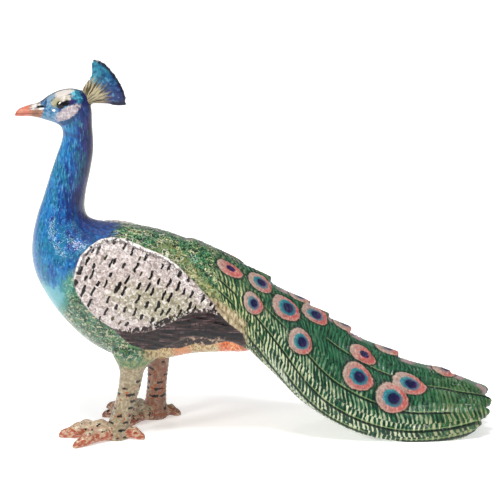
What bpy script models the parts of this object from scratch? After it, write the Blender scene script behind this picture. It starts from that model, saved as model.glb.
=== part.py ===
"""Peacock figurine, cast as one piece of porcelain: a standing bird with its train folded behind it.

The bird looks along -X and stands on z = 0. All measures of the figure are hundredths of its length,
so that its pose and proportions hold together, and U turns them into metres.
"""
import math

import bmesh
import bpy
import numpy as np
from mathutils import Vector

# Driving sizes, in metres
LENGTH = 0.100             # beak tip to train tip
WING_STEP = 0.0010         # how far the wing coverts stand above the body
FLIGHT_STEP = 0.0005       # how far the flight feathers stand above the body
PLATE_STEP = 0.0008        # drop at the tip of each train feather on the flanks
RIDGE_STEP = 0.0013        # drop at the tip of each train feather on the ridge
CREST_THICKNESS = 0.0018   # the fan of the crest, side to side
EYE_RADIUS = 0.0009
TOE_RADIUS = 0.0014        # a toe at its root
SHANK_RADIUS = 0.0022      # a leg above its foot

# Hundredths of the length
U = LENGTH / 100
LEG_SPREAD = 6.6           # middle plane to the middle of each leg
LEFT_LEG_X = -26.0         # where each leg leaves the body
RIGHT_LEG_X = -20.6
BURY = 1.0                 # depth to which an added form reaches into the one below it
SINK = 0.35                # the feet and the train are modelled this much too low, then cut off flat

# Facets: rings along a form, and points around it
BODY_FACETS = (35, 16)
TRAIN_FACETS = (19, 16)
PLATE_FACETS = (5, 4)
END_POINTS = 8
LEG_FACETS = (10, 10)
TOE_FACETS = (8, 8)
CREST_POINTS = 18
SHARP_EDGE = math.radians(40)

# The neck and body, as rings from beak to rump. Each ring has the point at its throat, breast or belly,
# the point at its crown, nape or back, and its half width.
BODY_RINGS = (
    ((-49.3, 67.8), (-49.4, 68.3), 0.35),    # beak tip
    ((-48.4, 67.75), (-48.5, 69.3), 0.8),
    ((-46.3, 67.8), (-46.5, 70.15), 1.15),
    ((-44.3, 67.5), (-44.0, 70.9), 1.6),     # beak root
    ((-42.7, 67.0), (-42.0, 72.3), 2.3),
    ((-41.3, 66.6), (-39.7, 73.3), 2.95),    # eyes
    ((-40.4, 66.2), (-37.2, 73.6), 3.2),
    ((-39.7, 65.6), (-35.0, 72.9), 3.2),     # back of the head
    ((-39.45, 64.6), (-33.6, 70.2), 3.0),
    ((-39.6, 63.0), (-33.3, 65.8), 2.9),     # throat
    ((-40.9, 59.3), (-33.2, 60.6), 3.3),
    ((-42.2, 55.6), (-33.9, 56.4), 3.75),
    ((-43.7, 51.0), (-34.9, 51.8), 4.4),
    ((-45.3, 46.3), (-35.2, 48.2), 5.5),     # foot of the neck
    ((-46.2, 42.2), (-34.5, 46.3), 7.0),
    ((-46.4, 38.0), (-33.1, 45.5), 8.4),     # breast
    ((-45.5, 34.0), (-31.0, 45.1), 9.8),
    ((-43.2, 29.4), (-28.0, 44.8), 11.0),
    ((-39.4, 24.2), (-24.0, 44.3), 11.8),
    ((-34.0, 19.2), (-19.5, 43.4), 12.2),    # belly
    ((-26.5, 16.0), (-14.0, 41.4), 12.1),
    ((-19.5, 16.0), (-9.0, 38.4), 11.8),
    ((-13.0, 17.3), (-4.6, 35.2), 11.3),
    ((-6.5, 17.7), (-1.2, 31.8), 10.6),
    ((-1.5, 17.8), (1.0, 28.5), 9.0),        # under the tail
    ((1.2, 18.8), (2.2, 25.0), 5.6),
)

# The train: ridge point, underside point, half width, and how far its flanks flare out below.
TRAIN_RINGS = (
    ((-17.0, 41.6), (-13.0, 33.0), 5.0, 1.0),
    ((-12.6, 41.5), (-10.0, 28.5), 8.2, 1.2),
    ((-7.0, 38.8), (-7.0, 25.5), 9.6, 1.5),
    ((-1.5, 35.4), (-4.0, 22.6), 10.1, 1.8),
    ((4.0, 31.7), (-0.6, 19.0), 10.3, 2.1),
    ((10.0, 27.8), (4.2, 14.4), 10.4, 2.4),
    ((16.0, 23.9), (9.6, 9.0), 10.3, 2.7),
    ((22.0, 20.1), (15.8, 4.4), 10.1, 2.9),
    ((28.5, 16.6), (22.6, 1.2), 9.9, 3.0),
    ((35.0, 13.7), (30.0, -0.4), 9.5, 3.0),
    ((40.8, 11.8), (37.4, -0.4), 8.7, 2.7),
    ((43.8, 10.0), (42.4, 0.2), 8.0, 2.4),
    ((46.4, 8.6), (45.6, 1.2), 6.9, 2.2),
)

# Side view of the wing coverts and of the flight feathers below them, nose to tail and back.
WING_OUTLINE = (
    (-37.0, 35.7), (-36.2, 32.9), (-33.8, 29.5), (-30.2, 26.5), (-25.6, 24.9), (-21.5, 25.3),
    (-16.6, 27.4), (-12.0, 29.2), (-8.2, 28.7), (-5.0, 26.4), (-0.6, 22.6), (-2.8, 25.8),
    (-7.6, 30.0), (-12.4, 35.0), (-17.5, 39.4), (-22.6, 41.6), (-27.6, 43.3), (-31.8, 43.2), (-35.4, 40.8),
)
FLIGHT_OUTLINE = (
    (-30.6, 27.4), (-28.4, 24.6), (-24.6, 21.2), (-20.7, 20.3), (-16.8, 22.0), (-12.3, 24.0),
    (-8.4, 22.8), (-4.6, 22.3), (-0.4, 20.4), (0.8, 21.6), (-3.6, 26.4), (-10.0, 30.6), (-22.0, 28.6),
)

# Train feathers: place of the tip along the train, angle down from the ridge, length and half width.
# Those on the ridge lie in the middle plane and have no angle.
FLANK_FEATHERS = (
    (0.215, 28, 10, 1.9), (0.298, 14, 9, 1.9), (0.290, 46, 10, 2.0), (0.392, 23, 10, 2.1),
    (0.460, 44, 11, 2.3), (0.650, 21, 11, 2.1), (0.662, 41, 12, 2.8), (0.778, 44, 12, 2.8),
    (0.812, 27, 12, 2.3),
)
RIDGE_FEATHERS = (
    (0.29, 9, 2.2), (0.42, 9, 2.2), (0.49, 8, 2.2), (0.57, 9, 2.2), (0.733, 12, 2.2), (0.905, 13, 2.2),
)

# The train's end: angle down from the ridge of each long feather, how far it reaches past the last ring.
END_FEATHERS = ((0, 4.2), (32, 5.0), (58, 4.6), (82, 3.1), (100, 1.1))
END_WIDTH = 2.5            # half width of such a feather
END_THICKNESS = 1.4        # half thickness

# One leg from inside the belly to the foot: height, bend forward, and its depth and width as shares of the
# shank.
LEG_PROFILE = (
    (24.0, -0.6, 2.2, 0.8), (18.6, -0.6, 2.35, 1.6), (16.6, -0.35, 1.6, 1.45), (15.0, -0.2, 1.2, 1.25),
    (13.2, -0.1, 1.12, 1.1), (11.0, 0.05, 1.05, 1.0), (7.6, 0.42, 0.98, 0.95), (4.6, 0.75, 1.03, 0.98),
    (2.6, 1.0, 1.12, 1.1), (0.9, 1.1, 1.25, 1.2), (-SINK, 1.15, 1.15, 1.1),
)
LEFT_LEAN = 2.6            # how far each foot stands ahead of its thigh
RIGHT_LEAN = 0.7

# The toes: heading turned from +X, length, and thickness as a share of the toe radius.
LEFT_TOES = ((217, 11.0, 1.2), (178, 12.4, 1.35), (160, 11.0, 1.3), (-10, 6.2, 1.05))
RIGHT_TOES = ((151, 12.4, 1.25), (180, 11.6, 1.2), (228, 9.6, 1.2), (14, 5.8, 1.05))

# The crest, a fan in the middle plane: its hub, its radius behind, and how much further it reaches in front.
# Its sections give the share of the radius, the swing of its front and rear edges, and the share of thickness.
CREST_HUB = (-35.0, 70.4)
CREST_RADIUS = 8.75
CREST_PEAK = 0.95
CREST_SECTIONS = (
    (0.10, 70, 5, 0.9), (0.34, 91, 1, 0.95), (0.46, 83, 0, 0.9), (0.60, 76, -1, 0.9), (0.70, 75, -3, 1.1),
    (0.84, 77.5, -4, 1.1), (0.95, 78, -3, 0.9), (1.0, 75, -0.5, 0.35),
)

EYE_PLACE = (-39.5, 2.5, 70.8)

COLOURS = {
    "azure_glaze": (0.02, 0.22, 0.55),
    "emerald_glaze": (0.03, 0.20, 0.10),
    "white_glaze": (0.70, 0.68, 0.62),
    "umber_glaze": (0.06, 0.03, 0.04),
    "cream_glaze": (0.62, 0.50, 0.38),
    "salmon_glaze": (0.72, 0.30, 0.22),
    "black_glaze": (0.01, 0.01, 0.01),
}


def clear_scene():
    """Remove the objects of the scene that is open."""
    for item in list(bpy.data.objects):
        bpy.data.objects.remove(item, do_unlink=True)


def glaze(name):
    """A glossy glaze in one of the figure's colours."""
    material = bpy.data.materials.get(name) or bpy.data.materials.new(name)
    material.use_nodes = True
    shader = material.node_tree.nodes["Principled BSDF"]
    shader.inputs["Base Color"].default_value = (*COLOURS[name], 1)
    shader.inputs["Roughness"].default_value = 0.15
    shader.inputs["Metallic"].default_value = 0.0
    return material


def smooth(rows, places):
    """Values of a smooth curve through rows of numbers, at places from 0 to 1 along it."""
    rows = np.array(rows, dtype=float)
    spans = np.linalg.norm(np.diff(rows, axis=0), axis=1)
    knots = np.concatenate(([0.0], np.cumsum(spans))) / spans.sum()
    slopes = np.gradient(rows, knots, axis=0)
    places = np.clip(np.atleast_1d(places), 0, 1)
    index = np.clip(np.searchsorted(knots, places, side="right") - 1, 0, len(rows) - 2)
    span = (knots[index + 1] - knots[index])[:, None]
    t = ((places - knots[index])[:, None]) / span
    start = (2 * t**3 - 3 * t**2 + 1) * rows[index] + (t**3 - 2 * t**2 + t) * span * slopes[index]
    end = (3 * t**2 - 2 * t**3) * rows[index + 1] + (t**3 - t**2) * span * slopes[index + 1]
    return start + end


def body_surface(places, angles, swell=0.0):
    """Points on the neck and body. Angle 0 is along the nape and back, 180 along throat and belly."""
    rings = smooth([(*front, *back, half) for front, back, half in BODY_RINGS], places)
    front, back, half = rings[:, 0:2], rings[:, 2:4], rings[:, 4]
    depth = (back - front) / 2
    grown = 1 + swell / np.linalg.norm(depth, axis=1)
    swung = (depth * grown[:, None])[:, None, :] * np.cos(angles)[None, :, None]
    flat = (front + back)[:, None, :] / 2 + swung
    across = (half + swell)[:, None] * np.sin(angles)[None, :]
    return np.stack((flat[..., 0], across, flat[..., 1]), axis=-1)


def train_surface(places, angles):
    """Points on the train. Angle 0 is along its ridge, 180 along its underside."""
    rings = smooth([(*top, *foot, half, flare) for top, foot, half, flare in TRAIN_RINGS], places)
    top, foot, half, flare = rings[:, 0:2], rings[:, 2:4], rings[:, 4], rings[:, 5]
    rise = ((1 + np.cos(angles))[None, :] / 2) ** flare[:, None]
    flat = foot[:, None, :] + (top - foot)[:, None, :] * rise[..., None]
    across = half[:, None] * np.sin(angles)[None, :]
    return np.stack((flat[..., 0], across, flat[..., 1]), axis=-1)


def turn(count):
    """Angles all the way round."""
    return np.arange(count) * 2 * math.pi / count


def loft(name, rings, colour, collection):
    """A closed solid through rings of points, with its first and last ring filled."""
    mesh_data = bpy.data.meshes.new(name)
    mesh = bmesh.new()
    rows = [[mesh.verts.new(Vector(point) * U) for point in ring] for ring in rings]
    for row, after in zip(rows, rows[1:]):
        for i in range(len(row)):
            j = (i + 1) % len(row)
            mesh.faces.new((row[i], row[j], after[j], after[i]))
    mesh.faces.new(rows[0])
    mesh.faces.new(rows[-1])
    bmesh.ops.triangulate(mesh, faces=mesh.faces)
    bmesh.ops.recalc_face_normals(mesh, faces=mesh.faces)
    mesh.to_mesh(mesh_data)
    mesh.free()
    mesh_data.materials.append(glaze(colour))
    mesh_data.shade_smooth()
    mesh_data.set_sharp_from_angle(angle=SHARP_EDGE)
    solid = bpy.data.objects.new(name, mesh_data)
    collection.objects.link(solid)
    return solid


def hide(solid):
    """Mark a form that is joined to the bird, or cut from it."""
    solid.hide_render = True
    solid.display_type = "WIRE"
    return solid


def boolean(solid, operation, other):
    """Join, cut or trim a solid with another object, or with all objects of a collection."""
    modifier = solid.modifiers.new(operation.lower(), "BOOLEAN")
    modifier.operation = operation
    modifier.solver = "EXACT"
    modifier.material_mode = "TRANSFER"
    if isinstance(other, bpy.types.Collection):
        modifier.operand_type = "COLLECTION"
        modifier.collection = other
    else:
        modifier.object = other
    return modifier


def make_body(collection):
    """Head, neck and body in one loft."""
    rings, points = BODY_FACETS
    return loft("peacock", body_surface(np.linspace(0, 1, rings), turn(points)), "azure_glaze", collection)


def make_train(forms):
    """The base of the train, below its separate feathers."""
    rings, points = TRAIN_FACETS
    hide(loft("train", train_surface(np.linspace(0, 1, rings), turn(points)), "emerald_glaze", forms))


def make_panel(name, outline, step, colour, side, forms, cutters):
    """A panel on the flank: the body swollen by a step, trimmed to an outline drawn from the side."""
    rings, points = BODY_FACETS
    places = np.linspace(0, 1, rings)[rings * 2 // 5:-1]
    panel = loft(name, body_surface(places, turn(points), step / U), colour, forms)
    curve = smooth(outline + outline[:1], np.linspace(0, 1, 2 * len(outline), endpoint=False))
    reach = ((3.0 - step / U) * side, 20.0 * side)
    trim = loft(name + "_trim", [[(x, y, z) for x, z in curve] for y in reach], colour, cutters)
    boolean(panel, "INTERSECT", hide(trim))
    hide(panel)


def plate_width(share):
    """Half width of a feather along its length, as a share of its widest: narrow root, round tip."""
    tip = 0.72
    if share > tip:
        return math.sqrt(max(0.0, 1 - ((share - tip) / (1 - tip)) ** 2))
    return 0.5 + 0.5 * math.sin(math.pi / 2 * share / tip)


def train_frame(place, angle):
    """A point on the train, its outward normal, and how fast the surface runs along and around."""
    near = 0.004
    grid = train_surface((place - near, place, place + near), np.array((angle - near, angle, angle + near)))
    along = (grid[2, 1] - grid[0, 1]) / (2 * near)
    across = (grid[1, 2] - grid[1, 0]) / (2 * near)
    normal = np.cross(along, across)
    return grid[1, 1], normal / np.linalg.norm(normal), np.linalg.norm(along), np.linalg.norm(across)


def make_feather(name, tip, angle, length, half, step, forms):
    """One train feather: a leaf that lies on the train and stands proud of it at its tip."""
    rows, columns = PLATE_FACETS
    angle = math.radians(angle)
    pace = train_frame(tip, abs(angle))[2]
    rings = []
    for i in range(rows + 1):
        share = i / rows
        place = tip - (1 - share) * length / pace
        width = max(half * plate_width(min(share, 0.985)), 0.25)
        upper, lower = [], []
        for j in range(columns + 1):
            offset = -1 + 2 * j / columns
            stretch = train_frame(place, angle)[3]
            point, normal, _, _ = train_frame(place, angle + offset * width / stretch)
            crown = 1 - 0.55 * offset**2
            upper.append(point + normal * (step / U) * (1.3 * share - 0.3) * crown)
            lower.append(point - normal * BURY)
        rings.append(upper + lower[::-2])
    return hide(loft(name, rings, "emerald_glaze", forms))


def make_train_feathers(forms):
    """The feathers with eyespots, in rows down the ridge and both flanks."""
    for i, (tip, length, half) in enumerate(RIDGE_FEATHERS):
        make_feather(f"ridge_feather_{i}", tip, 0, length, half, RIDGE_STEP, forms)
    for side in (-1, 1):
        label = "left" if side < 0 else "right"
        for i, (tip, angle, length, half) in enumerate(FLANK_FEATHERS):
            make_feather(f"{label}_feather_{i}", tip, side * angle, length, half, PLATE_STEP, forms)


def make_end_feathers(forms):
    """The long feathers that reach past the end of the train, as a scalloped fan."""
    for angle, reach in END_FEATHERS:
        for turned in sorted({-angle, angle}):
            make_end_feather(f"end_feather_{turned}", turned, reach, forms)


def make_end_feather(name, angle, reach, forms):
    """A rounded blade that leaves the train's surface and ends past the train."""
    frames = [train_frame(place, math.radians(angle)) for place in (0.76, 0.84, 0.92, 0.985)]
    lifts = (-1.5, -0.9, -0.5, 0.1)
    spine = [point + normal * lift for (point, normal, _, _), lift in zip(frames, lifts)]
    heading = (spine[-1] - spine[-2]) / np.linalg.norm(spine[-1] - spine[-2])
    spine.append(spine[-1] + heading * reach)
    normals = [frame[1] for frame in frames] + [frames[-1][1]]
    rows = np.hstack((spine, normals))
    shares = (0.0, 0.35, 0.6, 0.8, 0.93, 1.0)
    rings = []
    for share, row in zip(shares, smooth(rows, shares)):
        centre, normal = row[:3], row[3:]
        side = np.cross(heading, normal)
        round_off = math.sqrt(max(0.06, 1 - max(0.0, (share - 0.72) / 0.28) ** 2))
        wide = END_WIDTH * (0.52 + 0.48 * min(1.0, share / 0.7)) * round_off
        thick = END_THICKNESS * (0.5 + 0.5 * round_off)
        ring = [centre + side * wide * math.cos(a) + normal * thick * math.sin(a) for a in turn(END_POINTS)]
        rings.append(ring)
    return hide(loft(name, rings, "emerald_glaze", forms))


def leg_rings(leg_x, side, lean):
    """Rings down one leg, from inside the belly through the feathered thigh to the foot."""
    shank = SHANK_RADIUS / U
    rings = []
    for height, bend, long_share, wide_share in smooth(LEG_PROFILE, np.linspace(0, 1, LEG_FACETS[0])):
        x, y = leg_x - lean * bend, side * LEG_SPREAD
        long, wide = shank * long_share, shank * wide_share
        rings.append([(x + long * math.cos(a), y + wide * math.sin(a), height) for a in turn(LEG_FACETS[1])])
    return rings


def toe_rings(root, heading, length, thick):
    """Rings along one toe: an arched, jointed finger that ends in a claw on the ground."""
    heading = math.radians(heading)
    forward = np.array((math.cos(heading), math.sin(heading), 0.0))
    side = np.array((-forward[1], forward[0], 0.0))
    rings = []
    for share in np.linspace(0, 1, TOE_FACETS[0]):
        taper = (1 - 0.25 * share) * math.sqrt(1 - 0.9 * max(0.0, (share - 0.7) / 0.3) ** 2)
        joints = 1 + 0.1 * math.cos(2 * math.pi * 3 * share)
        radius = thick * taper * joints
        arch = 0.55 * math.sin(math.pi * min(1.0, share * 1.15)) if share < 0.87 else 0.0
        centre = np.array(root) + forward * length * share
        centre[2] = radius * 0.85 + arch - SINK * 0.6
        up = np.array((0.0, 0.0, 1.0))
        rings.append([centre + (side * math.cos(a) + up * math.sin(a)) * radius for a in turn(TOE_FACETS[1])])
    return rings


def make_legs(forms):
    """Both legs with their feet. The bird looks along heading 180."""
    legs = (
        ("left", -1, LEFT_LEG_X, LEFT_LEAN, LEFT_TOES),
        ("right", 1, RIGHT_LEG_X, RIGHT_LEAN, RIGHT_TOES),
    )
    for label, side, leg_x, lean, toes in legs:
        hide(loft(f"{label}_leg", leg_rings(leg_x, side, lean), "cream_glaze", forms))
        hub = (leg_x - lean * 1.1, side * LEG_SPREAD, 0.0)
        for i, (heading, length, thick) in enumerate(toes):
            rings = toe_rings(hub, heading, length, TOE_RADIUS / U * thick)
            hide(loft(f"{label}_toe_{i}", rings, "salmon_glaze", forms))


def crest_reach(swing):
    """How far the crest reaches from its hub in a direction given in degrees above the rear."""
    share = min(1.0, max(0.0, (swing - 30) / 48))
    return CREST_RADIUS + CREST_PEAK * share * share * (3 - 2 * share)


def make_crest(forms):
    """The crest: an upright fan of feathers on the back of the head, in the middle plane."""
    half_thick = CREST_THICKNESS / U / 2
    rings = []
    for share, front, rear, thick in CREST_SECTIONS:
        ring = []
        for a in turn(CREST_POINTS):
            swing = (front + rear) / 2 + (front - rear) / 2 * math.cos(a)
            reach = crest_reach(swing) * share
            x = CREST_HUB[0] + reach * math.cos(math.radians(swing))
            z = CREST_HUB[1] + reach * math.sin(math.radians(swing))
            ring.append((x, half_thick * thick * math.sin(a), z))
        rings.append(ring)
    hide(loft("crest", rings, "azure_glaze", forms))


def make_eyes(forms):
    """Two raised eyes."""
    for side in (-1, 1):
        mesh = bmesh.new()
        bmesh.ops.create_uvsphere(mesh, u_segments=8, v_segments=6, radius=EYE_RADIUS)
        data = bpy.data.meshes.new("eye")
        mesh.to_mesh(data)
        mesh.free()
        data.materials.append(glaze("black_glaze"))
        eye = bpy.data.objects.new("left_eye" if side < 0 else "right_eye", data)
        x, y, z = EYE_PLACE
        eye.location = (x * U, side * y * U, z * U)
        forms.objects.link(eye)
        hide(eye)


def make_ground_cutter(cutters):
    """A block below the ground that cuts the soles and the underside of the train flat."""
    mesh = bmesh.new()
    bmesh.ops.create_cube(mesh, size=1.0)
    data = bpy.data.meshes.new("ground")
    mesh.to_mesh(data)
    mesh.free()
    block = bpy.data.objects.new("ground", data)
    block.scale = (2 * LENGTH, LENGTH, 0.1 * LENGTH)
    block.location = (0, 0, -0.05 * LENGTH)
    cutters.objects.link(block)
    return hide(block)


def stand_on_origin(figure, forms, cutters):
    """Move everything so that the middle of the figure's outer forms is above the origin."""
    outer = [figure] + [item for item in forms.objects if not item.modifiers]
    points = np.array([item.matrix_basis @ vertex.co for item in outer for vertex in item.data.vertices])
    middle = (points.min(axis=0) + points.max(axis=0)) / 2
    for item in (figure, *forms.objects, *cutters.objects):
        item.location -= Vector((middle[0], middle[1], 0))


def main():
    clear_scene()
    parts, forms, cutters = (bpy.data.collections.new(name) for name in ("peacock", "forms", "cutters"))
    for collection in (parts, forms, cutters):
        bpy.context.scene.collection.children.link(collection)
    figure = make_body(parts)
    make_train(forms)
    for side, label in ((-1, "left"), (1, "right")):
        make_panel(f"{label}_flight", FLIGHT_OUTLINE, FLIGHT_STEP, "umber_glaze", side, forms, cutters)
        make_panel(f"{label}_wing", WING_OUTLINE, WING_STEP, "white_glaze", side, forms, cutters)
    make_train_feathers(forms)
    make_end_feathers(forms)
    make_legs(forms)
    make_crest(forms)
    make_eyes(forms)
    boolean(figure, "UNION", forms)
    boolean(figure, "DIFFERENCE", make_ground_cutter(cutters))
    stand_on_origin(figure, forms, cutters)


main()
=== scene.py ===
"""A porcelain peacock, carved, painted by hand and glazed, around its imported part.

All measures of the figure are hundredths of its length, as in the part: the bird looks along -X, its ridge
lies in the plane Y = 0 and it stands on Z = 0. FIGURE_UNIT turns them into metres.
"""
import math

import bpy
import numpy as np
from bpy.props import FloatProperty, FloatVectorProperty, PointerProperty
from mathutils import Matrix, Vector
from mathutils.kdtree import KDTree


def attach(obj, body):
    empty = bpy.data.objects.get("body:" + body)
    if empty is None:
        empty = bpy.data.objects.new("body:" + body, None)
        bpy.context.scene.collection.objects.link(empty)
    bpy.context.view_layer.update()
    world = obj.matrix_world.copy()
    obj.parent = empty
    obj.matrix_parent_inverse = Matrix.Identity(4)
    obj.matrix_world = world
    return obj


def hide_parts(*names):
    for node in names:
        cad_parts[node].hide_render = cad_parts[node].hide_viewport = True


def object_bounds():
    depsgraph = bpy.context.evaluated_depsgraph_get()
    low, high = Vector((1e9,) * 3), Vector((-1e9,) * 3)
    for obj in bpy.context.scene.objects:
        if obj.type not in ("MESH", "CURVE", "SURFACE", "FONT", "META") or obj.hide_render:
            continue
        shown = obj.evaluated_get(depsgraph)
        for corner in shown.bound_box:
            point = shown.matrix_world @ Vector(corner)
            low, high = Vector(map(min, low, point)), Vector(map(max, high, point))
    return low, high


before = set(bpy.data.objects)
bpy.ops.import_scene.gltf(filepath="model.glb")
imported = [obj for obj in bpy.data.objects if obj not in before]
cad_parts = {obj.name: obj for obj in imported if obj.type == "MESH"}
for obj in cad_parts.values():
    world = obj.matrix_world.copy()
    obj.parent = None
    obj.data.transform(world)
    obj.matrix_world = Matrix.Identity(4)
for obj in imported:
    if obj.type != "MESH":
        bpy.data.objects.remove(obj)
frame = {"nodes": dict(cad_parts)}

CAD_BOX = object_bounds()

bl_info = {
    "name": "Porcelain Peacock",
    "version": (1, 0, 0),
    "blender": (4, 5, 0),
    "location": "3D View > Sidebar > Peacock",
    "description": "Carves, paints and glazes a small porcelain peacock",
    "category": "Object",
}

LENGTH = 0.100
FIGURE_UNIT = LENGTH / 100
WING_STEP = 0.0010         # how far the wing coverts stand above the body
FLIGHT_STEP = 0.0005       # how far the flight feathers stand above the body
PLATE_STEP = 0.0008        # drop at the tip of each train feather on the flanks
RIDGE_STEP = 0.0013        # drop at the tip of each train feather on the ridge
CREST_THICKNESS = 0.0018
EYE_RADIUS = 0.0009
TOE_RADIUS = 0.0014
SHANK_RADIUS = 0.0022
LEG_SPREAD = 6.6
LEFT_LEG_X = -26.0
RIGHT_LEG_X = -20.6
BURY = 1.0
SINK = 0.35

# The neck and body, as rings from beak to rump: throat or belly point, nape or back point, half width
BODY_RINGS = (
    ((-49.3, 67.8), (-49.4, 68.3), 0.35),
    ((-48.4, 67.75), (-48.5, 69.3), 0.8),
    ((-46.3, 67.8), (-46.5, 70.15), 1.15),
    ((-44.3, 67.5), (-44.0, 70.9), 1.6),
    ((-42.7, 67.0), (-42.0, 72.3), 2.3),
    ((-41.3, 66.6), (-39.7, 73.3), 2.95),
    ((-40.4, 66.2), (-37.2, 73.6), 3.2),
    ((-39.7, 65.6), (-35.0, 72.9), 3.2),
    ((-39.45, 64.6), (-33.6, 70.2), 3.0),
    ((-39.6, 63.0), (-33.3, 65.8), 2.9),
    ((-40.9, 59.3), (-33.2, 60.6), 3.3),
    ((-42.2, 55.6), (-33.9, 56.4), 3.75),
    ((-43.7, 51.0), (-34.9, 51.8), 4.4),
    ((-45.3, 46.3), (-35.2, 48.2), 5.5),
    ((-46.2, 42.2), (-34.5, 46.3), 7.0),
    ((-46.4, 38.0), (-33.1, 45.5), 8.4),
    ((-45.5, 34.0), (-31.0, 45.1), 9.8),
    ((-43.2, 29.4), (-28.0, 44.8), 11.0),
    ((-39.4, 24.2), (-24.0, 44.3), 11.8),
    ((-34.0, 19.2), (-19.5, 43.4), 12.2),
    ((-26.5, 16.0), (-14.0, 41.4), 12.1),
    ((-19.5, 16.0), (-9.0, 38.4), 11.8),
    ((-13.0, 17.3), (-4.6, 35.2), 11.3),
    ((-6.5, 17.7), (-1.2, 31.8), 10.6),
    ((-1.5, 17.8), (1.0, 28.5), 9.0),
    ((1.2, 18.8), (2.2, 25.0), 5.6),
)

# The train: ridge point, underside point, half width, and how far its flanks flare out below
TRAIN_RINGS = (
    ((-17.0, 41.6), (-13.0, 33.0), 5.0, 1.0),
    ((-12.6, 41.5), (-10.0, 28.5), 8.2, 1.2),
    ((-7.0, 38.8), (-7.0, 25.5), 9.6, 1.5),
    ((-1.5, 35.4), (-4.0, 22.6), 10.1, 1.8),
    ((4.0, 31.7), (-0.6, 19.0), 10.3, 2.1),
    ((10.0, 27.8), (4.2, 14.4), 10.4, 2.4),
    ((16.0, 23.9), (9.6, 9.0), 10.3, 2.7),
    ((22.0, 20.1), (15.8, 4.4), 10.1, 2.9),
    ((28.5, 16.6), (22.6, 1.2), 9.9, 3.0),
    ((35.0, 13.7), (30.0, -0.4), 9.5, 3.0),
    ((40.8, 11.8), (37.4, -0.4), 8.7, 2.7),
    ((43.8, 10.0), (42.4, 0.2), 8.0, 2.4),
    ((46.4, 8.6), (45.6, 1.2), 6.9, 2.2),
)

# Side view of the wing coverts and of the flight feathers below them
WING_OUTLINE = (
    (-37.0, 35.7), (-36.2, 32.9), (-33.8, 29.5), (-30.2, 26.5), (-25.6, 24.9), (-21.5, 25.3),
    (-16.6, 27.4), (-12.0, 29.2), (-8.2, 28.7), (-5.0, 26.4), (-0.6, 22.6), (-2.8, 25.8),
    (-7.6, 30.0), (-12.4, 35.0), (-17.5, 39.4), (-22.6, 41.6), (-27.6, 43.3), (-31.8, 43.2), (-35.4, 40.8),
)
FLIGHT_OUTLINE = (
    (-30.6, 27.4), (-28.4, 24.6), (-24.6, 21.2), (-20.7, 20.3), (-16.8, 22.0), (-12.3, 24.0),
    (-8.4, 22.8), (-4.6, 22.3), (-0.4, 20.4), (0.8, 21.6), (-3.6, 26.4), (-10.0, 30.6), (-22.0, 28.6),
)

# Train feathers: place of the tip along the train, angle down from the ridge, length and half width
FLANK_FEATHERS = (
    (0.215, 28, 10, 1.9), (0.298, 14, 9, 1.9), (0.290, 46, 10, 2.0), (0.392, 23, 10, 2.1),
    (0.460, 44, 11, 2.3), (0.650, 21, 11, 2.1), (0.662, 41, 12, 2.8), (0.778, 44, 12, 2.8),
    (0.812, 27, 12, 2.3),
)
RIDGE_FEATHERS = (
    (0.29, 9, 2.2), (0.42, 9, 2.2), (0.49, 8, 2.2), (0.57, 9, 2.2), (0.733, 12, 2.2), (0.905, 13, 2.2),
)
END_FEATHERS = ((0, 4.2), (32, 5.0), (58, 4.6), (82, 3.1), (100, 1.1))
END_WIDTH = 2.5
END_THICKNESS = 1.4

LEG_PROFILE = (
    (24.0, -0.6, 2.2, 0.8), (18.6, -0.6, 2.35, 1.6), (16.6, -0.35, 1.6, 1.45), (15.0, -0.2, 1.2, 1.25),
    (13.2, -0.1, 1.12, 1.1), (11.0, 0.05, 1.05, 1.0), (7.6, 0.42, 0.98, 0.95), (4.6, 0.75, 1.03, 0.98),
    (2.6, 1.0, 1.12, 1.1), (0.9, 1.1, 1.25, 1.2), (-SINK, 1.15, 1.15, 1.1),
)
LEFT_LEAN = 2.6
RIGHT_LEAN = 0.7
LEFT_TOES = ((217, 11.0, 1.2), (178, 12.4, 1.35), (160, 11.0, 1.3), (-10, 6.2, 1.05))
RIGHT_TOES = ((151, 12.4, 1.25), (180, 11.6, 1.2), (228, 9.6, 1.2), (14, 5.8, 1.05))
LEGS = ((-1, LEFT_LEG_X, LEFT_LEAN, LEFT_TOES), (1, RIGHT_LEG_X, RIGHT_LEAN, RIGHT_TOES))

CREST_HUB = (-35.0, 70.4)
CREST_RADIUS = 8.75
CREST_PEAK = 0.95
CREST_SECTIONS = (
    (0.10, 70, 5, 0.9), (0.34, 91, 1, 0.95), (0.46, 83, 0, 0.9), (0.60, 76, -1, 0.9), (0.70, 75, -3, 1.1),
    (0.84, 77.5, -4, 1.1), (0.95, 78, -3, 0.9), (1.0, 75, -0.5, 0.35),
)
EYE_PLACE = (-39.5, 2.5, 70.8)

# Eyespots: place of the middle along the train, angle down from the ridge, half length, half width,
# how red the ring is, and how much turquoise is inside it
EYESPOTS = (
    (0.175, 29, 2.90, 1.80, 1.0, 0.0),
    (0.265, 18, 2.81, 2.10, 0.3, 0.5),
    (0.257, 50, 2.40, 2.10, 0.3, 0.3),
    (0.357, 27, 3.52, 2.64, 0.8, 0.9),
    (0.447, 11, 3.41, 2.00, 0.6, 0.4),
    (0.430, 48, 3.10, 2.46, 0.4, 0.8),
    (0.626, 23, 3.30, 1.71, 0.9, 0.0),
    (0.632, 43, 3.60, 2.70, 0.9, 1.0),
    (0.748, 48, 3.80, 2.97, 0.7, 0.8),
    (0.785, 31, 4.00, 2.09, 0.5, 0.5),
    (0.545, 0, 2.80, 1.60, 0.1, 0.1),
    (0.695, 0, 3.00, 1.60, 0.1, 0.1),
    (0.885, 0, 3.00, 1.70, 0.5, 0.1),
    (0.385, 0, 2.40, 1.50, 0.1, 0.2),
)

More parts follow.
